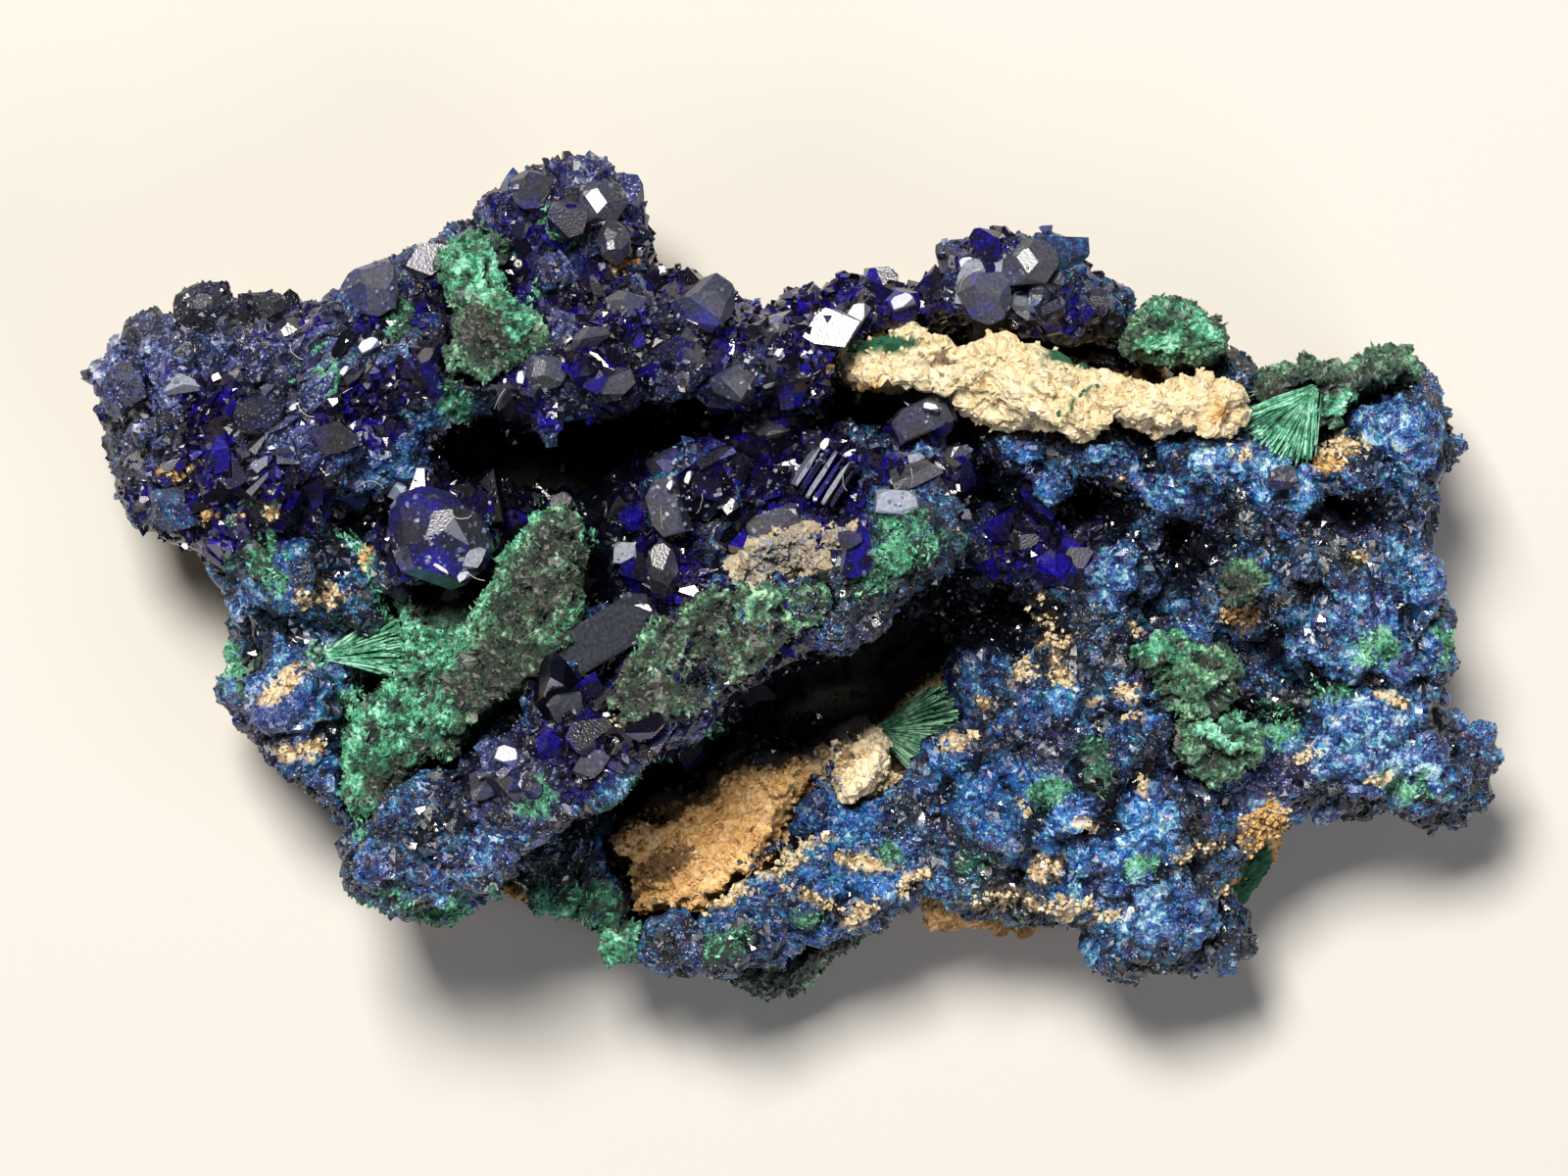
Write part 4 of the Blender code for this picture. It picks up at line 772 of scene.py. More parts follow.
# %% Rock ground
OCHRE_ROCK = patches(
    (-5.4, -13.2, 6.6, 4.6, 30, 0, 16), (24, -14.5, 2.4, 4), (-1, -20, 6, 3), (7.4, -16.8, 2, 2.4),
    (21.5, 8.4, 0.7, 0.5), (3.2, 9.8, 1.2, 0.4),
)
BROWN_ROCK = patches(
    (-7, -14.9, 1.7, 0.8, 20), (7, 11.2, 0.9, 0.6), (23.6, -16.2, 1.6, 1.8),
    (-0.6, -20.4, 4, 1.6, 20), (-9.8, -12.4, 1.6, 0.6, 40),
)
GREEN_ROCK = patches(
    (14.6, 9.6, 0.6, 0.12, 40, 18), (13.6, 8.5, 0.9, 0.10, 60, 18), (11.5, 9.5, 0.5, 0.09, 50, 18),
    (24, -15.8, 1, 2.2), (14.6, 11.3, 2.4, 0.5, 0, 18), (4, 12, 2, 0.4, 0, 18),
)
# Rock on the floors of the caves, painted near black as shade.
CAVE_FLOOR = patches(
    (-13, 6, 8, 4.4, 0, 4, 11), (-5, 8.6, 7, 2.4, 0, 4, 11), (5, 8.6, 5, 2.4, 0, 4, 11),
    (1.5, -4.6, 9.5, 3.8, 28, 2, 12.5), (-9, -10, 5, 2.6, 40, 2, 9),
)
CREAM_KNOB = patches((3.2, -9.4, 2, 2.6))


def rock_paint(points, sky):
    """The colour layer of rock: (ochre, brown, green, painted shade)."""
    low_flank = np.clip((9.5 - points[:, 2]) / 2, 0, 1)
    cream_low = within(points, CREAM_KNOB, 0.3, 1, 30)
    ochre_share = np.maximum(within(points, OCHRE_ROCK, 0.6, 0.8, 31), low_flank * (1 - cream_low))
    brown_share = np.maximum(0.8 * within(points, BROWN_ROCK, 1.8, 0.4, 32),
                             low_flank * np.clip(2.4 * field(points, 2.4, 33) - 0.9, 0, 1))
    # cave_share is painted shade: the rock on the cave floors and in the shaded patches turns near black.
    cave_share = np.maximum(share_of("hollow_shade", points), within(points, CAVE_FLOOR, 0.1, 1, 9))
    return {"growth": four(len(points), ochre_share, brown_share, within(points, GREEN_ROCK, 0.5, 0.3, 34),
                           cave_share)}


rock = ground_of("matrix_rock", "rock_ground", 0.31)
seats = skin_of(rock)
push = -0.55 * rise(field(seats.points, 0.6, 35), 0.55, 0.12)
push -= 0.5 * rise(field(seats.points, 1.5, 38), 0.62, 0.1)
push += 0.5 * (field(seats.points, 1.6, 36) - 0.5) + 0.5 * (knobs(seats.points, 0.75, 37) - 0.5)
dressed(rock, clay, "limonite_clay", "matrix_rock", push, rock_paint(seats.points, None))

# %% [markdown]
# ## Malachite ground
#
# One loop dresses every green mass, from the wall of plates in the west to the smallest tuft. Where
# it is broken across it is brown and grey green, and its thin edges are mint.

# %% Malachite ground
MINT = patches(
    (-16.6, 0.4, 1, 3, -38), (-14.2, 3, 0.8, 2, -38), (-19.6, -3.4, 3.2, 1.8),
    (-21, -6.8, 2.4, 3, 30), (-22.6, -10.6, 1.4, 3.4), (-18.4, -6, 1.3, 3, -30),
    (-16.4, 15.4, 1.9, 1.3), (-20.8, -12.6, 1.2, 1.6), (19.8, 13.2, 2, 1, -20), (24.6, 7.6, 1.6, 1),
    (27.4, 9, 2, 0.6, 10), (18.4, -3, 1.9, 1), (21.8, -7.6, 1.5, 0.9), (-14.2, 13.6, 0.9, 1.8),
    (-9.2, -18.6, 1.2, 1.8), (-16.8, 16.4, 1.4, 1.4), (17.6, 11.6, 2.2, 0.8, 20),
    (-22, 0, 0.4, 2.4, 20), (-20.6, -2.4, 0.7, 1.6, 20), (-10.8, 3.6, 0.5, 0.9),
)
BROKEN = patches(
    (-12.4, 0.2, 1.8, 3.2, -20), (-15, -4.6, 2.6, 2, 30), (-21, -11, 1, 1.8, 40),
    (-5.4, -4.6, 5.2, 2.6, 28), (-16.2, 12.6, 1.7, 1.5), (21.8, -5.2, 0.8, 0.5),
    (-0.6, -20, 4, 1.6, 20), (22.4, -0.4, 1, 0.7), (24.4, 9.8, 1.2, 0.6),
)
GREEN_NODES = {  # how coarse each is, and how rough
    "malachite_wall": (0.24, 0.6), "malachite_ledge_skin": (0.2, 0.5), "malachite_cap": (0.2, 0.6),
    "malachite_back_mound": (0.22, 0.6), "malachite_east_band": (0.22, 0.6), "malachite_keel": (0.24, 0.4),
    "malachite_tuft_upper": (0.17, 0.9), "malachite_tuft_lower": (0.17, 0.9),
    "malachite_tuft_small": (0.17, 0.8), "malachite_south_foot": (0.18, 0.6),
}


def malachite_paint(points, sky):
    """The colour layer of malachite: (mint, broken, painted shade, 1)."""
    # Painted shade: pits, places that see little sky and the caves turn nearly black.
    pit = np.clip((field(points, 0.7, 46) - 0.54) / 0.08, 0, 0.92)
    deep = np.clip((0.3 - sky) / 0.2, 0, 1)
    painted_shade = np.maximum(share_of("hollow_shade", points), np.maximum(pit, deep))
    return {"growth": four(len(points), within(points, MINT, 0.8, 0.5, 41),
                           within(points, BROKEN, 1.2, 0.4, 42), painted_shade, 1)}


green_grounds = {}
for node, (voxel, roughness) in GREEN_NODES.items():
    ground = ground_of(node, node + "_ground", voxel, 2)
    seats = skin_of(ground)
    push = roughness * (0.6 * knobs(seats.points, 0.7, 43) + 0.9 * field(seats.points, 0.32, 44) - 0.8)
    push -= roughness * rise(field(seats.points, 0.7, 46), 0.56, 0.1)
    layers = malachite_paint(seats.points, sky_seen(seats.points, seats.normals)[0])
    dressed(ground, malachite, "malachite", node, push, layers)
    green_grounds[node] = ground

# %% [markdown]
# ## Crystal shapes
#
# A crystal is what is left when flat faces have cut everything else away, so each shape starts as a
# block and is bisected by planes, as a lapidary would. Thirty shapes, all cut a little differently,
# are enough for thousands of crystals, because each is turned and stretched on its own.

# %% Cut the shapes
Shape = namedtuple("Shape", "points faces facets")
TALL_CUTS = [((0, 0, 0.36), (0.75, 0.1, 0.65)), ((0, 0, 0.36), (-0.75, 0.15, 0.65)),
             ((0, 0, 0.40), (0.05, 0.85, 0.5)), ((0, 0, 0.42), (-0.05, -0.9, 0.45)),
             ((0.36, 0, 0), (0.8, 0.6, 0)), ((-0.36, 0, 0), (-0.8, 0.6, 0.05)),
             ((0.38, 0, 0), (0.8, -0.6, 0.05)), ((-0.4, 0, 0), (-0.8, -0.6, 0))]
TABLE_CUTS = [((0.48, 0, 0.47), (0.6, 0.1, 0.5)), ((-0.47, 0, 0.48), (-0.5, 0, 0.7)),
              ((0, 0.48, 0.47), (0.05, 0.7, 0.5)), ((0, -0.47, 0.48), (0, -0.6, 0.7)),
              ((0.38, 0.38, 0), (0.8, 0.6, 0.1)), ((-0.42, 0.38, 0), (-0.7, 0.7, 0.05)),
              ((0.30, -0.30, 0.44), (0.35, -0.45, 0.8))]


def as_shape(obj):
    """Reads an object's triangles and which facet each belongs to, then removes the object."""
    mesh = obj.data
    mesh.calc_loop_triangles()
    points = np.array([tuple(v.co) for v in mesh.vertices])
    faces = np.array([tuple(t.vertices) for t in mesh.loop_triangles])
    facets = np.array([t.polygon_index for t in mesh.loop_triangles])
    bpy.data.objects.remove(obj)
    return Shape(points, faces, facets)


def cut_block(size, cuts):
    """A block of that size from which each plane, given by a point and a normal, cuts the outside."""
    bpy.ops.object.select_all(action="DESELECT")
    bpy.ops.mesh.primitive_cube_add(size=1)
    obj = bpy.context.object
    bpy.ops.object.mode_set(mode="EDIT")
    for point, normal in cuts:
        bpy.ops.mesh.select_all(action="SELECT")
        bpy.ops.mesh.bisect(plane_co=point, plane_no=normal, use_fill=True, clear_outer=True)
    bpy.ops.mesh.select_all(action="SELECT")
    bpy.ops.transform.resize(value=size)
    bpy.ops.object.mode_set(mode="OBJECT")
    return as_shape(obj)


cutter = np.random.default_rng(5)


def varied(cuts, amount=0.14, shift=0.05):
    """The same cuts, each moved and leant a little."""
    return [(tuple(np.array(p) + cutter.uniform(-shift, shift, 3)),
             tuple(np.array(n) + cutter.uniform(-amount, amount, 3))) for p, n in cuts]


def round_cuts(count, far=0.42, spread=0.0):
    """Cuts all around at random, which leave a lump with many flat faces."""
    normals = cutter.normal(size=(count, 3))
    normals /= np.linalg.norm(normals, axis=1, keepdims=True)
    return [(tuple((far + cutter.uniform(-spread, spread)) * n), tuple(n)) for n in normals]


tablets = [cut_block((1.0, 0.42, 0.95), varied(TALL_CUTS)) for _ in range(4)]
prisms = [cut_block((0.62, 0.55, 1.15), varied(TALL_CUTS)) for _ in range(4)]
blocks = [cut_block((0.95, 0.8, 0.85), varied(TALL_CUTS[:6])) for _ in range(4)]
chips = [cut_block((0.9, 0.6, 0.8), varied(TALL_CUTS[:count])) for count in (1, 1, 2, 2)]
nuggets = [cut_block((1.0, 0.85, 0.9), round_cuts(12)) for _ in range(5)]
tables = [cut_block((1, 1, 1), varied(TABLE_CUTS, 0.08, 0.02)) for _ in range(4)]
cushions = [cut_block((1, 1, 1), round_cuts(26, 0.43, 0.05)) for _ in range(4)]
oval = cut_block((1, 1, 1), [((0, 0, 0.40), (0.2, -0.15, 1))] + round_cuts(34, 0.45, 0.03))
cut = tablets + prisms + blocks + chips + nuggets + tables + cushions + [oval]
print(len(cut), "shapes of", [len(shape.faces) for shape in cut], "triangles")

# %% [markdown]
# What is too small to show its faces stays simpler. A grain is a decimated icosphere in three
# proportions, and a needle is a three-sided cone that is wider at its far end.

# %% Grains and needles
bpy.ops.mesh.primitive_ico_sphere_add(subdivisions=1, radius=0.5)
bpy.ops.object.mode_set(mode="EDIT")
bpy.ops.mesh.decimate(ratio=0.5)
bpy.ops.object.mode_set(mode="OBJECT")
grain_shape = as_shape(bpy.context.object)
grains = [Shape(grain_shape.points * turn, grain_shape.faces, grain_shape.facets)
          for turn in ((1, 0.8, 0.9), (0.7, 1, 1.1), (1.1, 0.7, 0.8))]
bpy.ops.mesh.primitive_cone_add(vertices=3, radius1=0.35, radius2=0.5, depth=1, location=(0, 0, 0.5))
bpy.ops.object.transform_apply(location=True)
needle = as_shape(bpy.context.object)
print("grain:", len(grain_shape.faces), "triangles, needle:", len(needle.faces))

# %% [markdown]
# ## Strewing
#
# To cover a ground with thousands of small things, points are drawn at random over the triangles
# that can be seen, each as likely as its area times how much that place should carry. Then one
# array holds every copy: each is turned so that it grows out of the ground, leant a little, sized
# and moved. A single mesh made from such arrays is much lighter than thousands of objects.

# %% Strewing tools
Survey = namedtuple("Survey", "corners middles outward weight sky")
Spots = namedtuple("Spots", "places normals sky")
rng = np.random.default_rng(61)


def survey_of(obj):
    """A ground's triangles with their middles, how likely each is to be drawn, and their share of sky."""
    skin = skin_of(obj)
    corners = skin.points[skin.faces]
    across = np.cross(corners[:, 1] - corners[:, 0], corners[:, 2] - corners[:, 0])
    area = np.linalg.norm(across, axis=1) / 2
    outward = skin.normals[skin.faces].mean(axis=1)
    outward /= np.linalg.norm(outward, axis=1, keepdims=True) + 1e-9
    middles = corners.mean(axis=1)
    sky, open_air = sky_seen(middles, outward)
    from_above = np.clip(0.35 + 0.9 * outward[:, 2], 0.15, 1)
    return Survey(corners, middles, outward, area * open_air * from_above, sky)


def draw_spots(survey, per_mm2, wanted):
    """Random places on a surveyed ground, about per_mm2 of them where wanted is 1."""
    weight = survey.weight * wanted(survey.middles, survey.outward)
    count = int(weight.sum() * per_mm2)
    chosen = rng.choice(len(weight), size=count, p=weight / weight.sum())
    u, v = rng.random((2, count, 1))
    u, v = np.where(u + v > 1, 1 - u, u), np.where(u + v > 1, 1 - v, v)
    at = survey.corners[chosen]
    places = at[:, 0] + u * (at[:, 1] - at[:, 0]) + v * (at[:, 2] - at[:, 0])
    return Spots(places, survey.outward[chosen], survey.sky[chosen])


def frames_along(axes, spin):
    """A turned frame for each axis, as columns, with the axis as its third."""
    helper = np.where(np.abs(axes[:, 2:]) < 0.9, [[0.0, 0.0, 1.0]], [[1.0, 0.0, 0.0]])
    side = np.cross(helper, axes)
    side /= np.linalg.norm(side, axis=1, keepdims=True)
    other = np.cross(axes, side)
    turned = side * np.cos(spin)[:, None] + other * np.sin(spin)[:, None]
    return np.stack([turned, np.cross(axes, turned), axes], axis=2)


def copied(shapes, which, places, turns, scales):
    """Copies of shapes at places: points, faces, each face's copy and facet, and each point's copy."""
    points, faces, copies, facets, owners = [], [], [], [], []
    start = 0
    for index, shape in enumerate(shapes):
        mine = np.flatnonzero(which == index)
        if not len(mine):
            continue
        local = shape.points[None] * scales[mine][:, None]
        made = np.einsum("nij,nvj->nvi", turns[mine], local) + places[mine][:, None]
        step = len(shape.points)
        offset = start + step * np.arange(len(mine))
        points.append(made.reshape(-1, 3))
        faces.append((shape.faces[None] + offset[:, None, None]).reshape(-1, 3))
        copies.append(np.repeat(mine, len(shape.faces)))
        facets.append(np.tile(shape.facets, len(mine)))
        owners.append(np.repeat(mine, step))
        start += step * len(mine)
    return [np.concatenate(part) for part in (points, faces, copies, facets, owners)]


def joined(name, points, faces):
    """One flat-shaded object from arrays of points in mm and triangles, none of it below the floor."""
    points = np.column_stack([points[:, :2], np.maximum(points[:, 2], 0)])
    mesh = bpy.data.meshes.new(name)
    mesh.vertices.add(len(points))
    mesh.vertices.foreach_set("co", (points * MM).astype(np.float32).ravel())
    mesh.loops.add(len(faces) * 3)
    mesh.loops.foreach_set("vertex_index", faces.astype(np.int32).ravel())
    mesh.polygons.add(len(faces))
    mesh.polygons.foreach_set("loop_start", np.arange(0, len(faces) * 3, 3, dtype=np.int32))
    mesh.update(calc_edges=True)
    obj = bpy.data.objects.new(name, mesh)
    bpy.context.scene.collection.objects.link(obj)
    pick_only(obj)
    bpy.ops.object.shade_flat()
    return obj


FINISH = {"azurite": azurite, "malachite": malachite, "limonite_clay": clay}


def grown(name, shapes, spots, sizes, slot, node, paint, lean=0.6, sink=0.0, stretch=0.2, stray=0.0,
          odd=None):
    """One piece of many crystals or grains that grow from the spots, in sizes between two in mm."""
    count = len(spots.places)
    sizes = rng.uniform(*sizes, (count, 1))
    if odd:
        sizes = sizes * rng.choice(odd, (count, 1))
    axes = spots.normals + lean * rng.normal(size=(count, 3))
    axes /= np.linalg.norm(axes, axis=1, keepdims=True)
    places = spots.places - sink * sizes * spots.normals
    scales = sizes * rng.uniform(1 - stretch, 1 + stretch, (count, 3))
    turns = frames_along(axes, rng.uniform(0, math.tau, count))
    points, faces, copies, facets, owners = copied(
        shapes, rng.integers(len(shapes), size=count), places, turns, scales)
    obj = joined(name, points, faces)
    layers = paint(places + stray * rng.normal(size=(count, 3)), spots.sky)
    set_values(obj, **{layer: values[owners] for layer, values in layers.items()})
    shade = rng.random(count)
    ids = np.stack([copies, facets, facets * 0], axis=1)
    # grain is partly random tone and partly painted light: copies on top of a lump are lighter.
    grain = 0.4 * shade[copies] + 0.2 * scrambled(ids, 52) + 0.4 * lumps(places)[copies]
    set_values(obj, "FACE", grain=grain, facet=0.75 * scrambled(ids, 51) + 0.25 * shade[copies])
    settle(obj, FINISH[slot], slot, node)
    return obj


# %% [markdown]
# ## Crystals and grains of azurite
#
# Crystals of several sizes go on. A few stout ones sit deep in the glassy ground, middling and small
# ones fill in over them, and on the left lobe and the front of the ledge a layer of them leans one
# way. The crust gets grains of about a quarter of a millimetre, as fine as can be shown.

# %% Strew the azurite
ABOVE_BACK = 3.0  # mm: little grows lower than this on the flanks
HALFWAY = 8.0  # mm: where the grains of the west end and those of the east begin
SLANT = [0.80, 0.55, 0.25]


def on_glassy(places, normals):
    """Where stout crystals grow."""
    return glassiness(places) * (places[:, 2] > ABOVE_BACK)


def on_grainy(places, normals):
    """Where the fine crust grows: everywhere else, but thinly in clefts and low on the flanks."""
    low = np.clip((places[:, 2] - ABOVE_BACK) / 4, 0, 1)
    return (1 - 0.75 * glassiness(places)) * (0.15 + 0.85 * low) * np.clip(2.0 * lumps(places) + 0.1, 0.2, 1)


def on_lobe(places, normals):
    """Where crystals lie slantwise: the left lobe and the front of the ledge."""
    return share_of("slanted", places) * (normals[:, 2] > 0.3)


crust_survey, back_survey = survey_of(crust), survey_of(back)
for name, shapes, per_mm2, sizes, paint, way in (
        ("stout", nuggets + blocks, 0.24, (1.5, 2.7), clean_paint, {"lean": 0.5, "sink": 0.22}),
        ("middling", blocks + prisms + tablets, 1.3, (0.7, 1.8), clean_paint, {"lean": 0.6, "sink": 0.05}),
        ("small", chips, 2.0, (0.2, 0.55), azurite_paint, {"lean": 0.8, "sink": -0.3})):
    grown(f"azurite_{name}_crystals", shapes, draw_spots(crust_survey, per_mm2, on_glassy), sizes,
          "azurite", "azurite_crust", paint, **way)
spots = draw_spots(crust_survey, 1.5, on_lobe)
slanted = Spots(spots.places, np.tile(SLANT, (len(spots.places), 1)), spots.sky)
grown("azurite_slanted_crystals", prisms + tablets, slanted, (0.6, 1.6), "azurite", "azurite_crust",
      clean_paint, lean=0.25, stretch=0.3)
for half, side in (("west", -1), ("east", 1)):
    spots = draw_spots(crust_survey, 8.5,
                       lambda at, up: on_grainy(at, up) * (side * (at[:, 0] - HALFWAY) > 0))
    grown(f"azurite_grains_{half}", grains, spots, (0.17, 0.40), "azurite", "azurite_crust",
          azurite_paint, lean=0.9, sink=0.05, stretch=0.45, stray=0.15, odd=[1, 1, 1, 1.6])
grown("azurite_back_crystals", nuggets + blocks, draw_spots(back_survey, 0.35, on_glassy), (1.2, 2.6),
      "azurite", "azurite_back_cluster", clean_paint, lean=0.5, sink=0.2)
grown("azurite_back_small_crystals", chips + blocks, draw_spots(back_survey, 4.0, on_glassy), (0.3, 0.9),
      "azurite", "azurite_back_cluster", azurite_paint, lean=0.7, sink=-0.1)

# %% [markdown]
# ## Crystals placed one by one
#
# Some crystals are large enough to know one by one: the oval one in the west, the prisms and the
# stack of blades in the bowl, the slab under the ledge. Each is placed by where it lies in plan, the
# way its long side points, and the way its top face looks. A ray from above finds its seat. A face
# that leans about ten degrees to the far edge mirrors the main lamp, and so it flashes white.

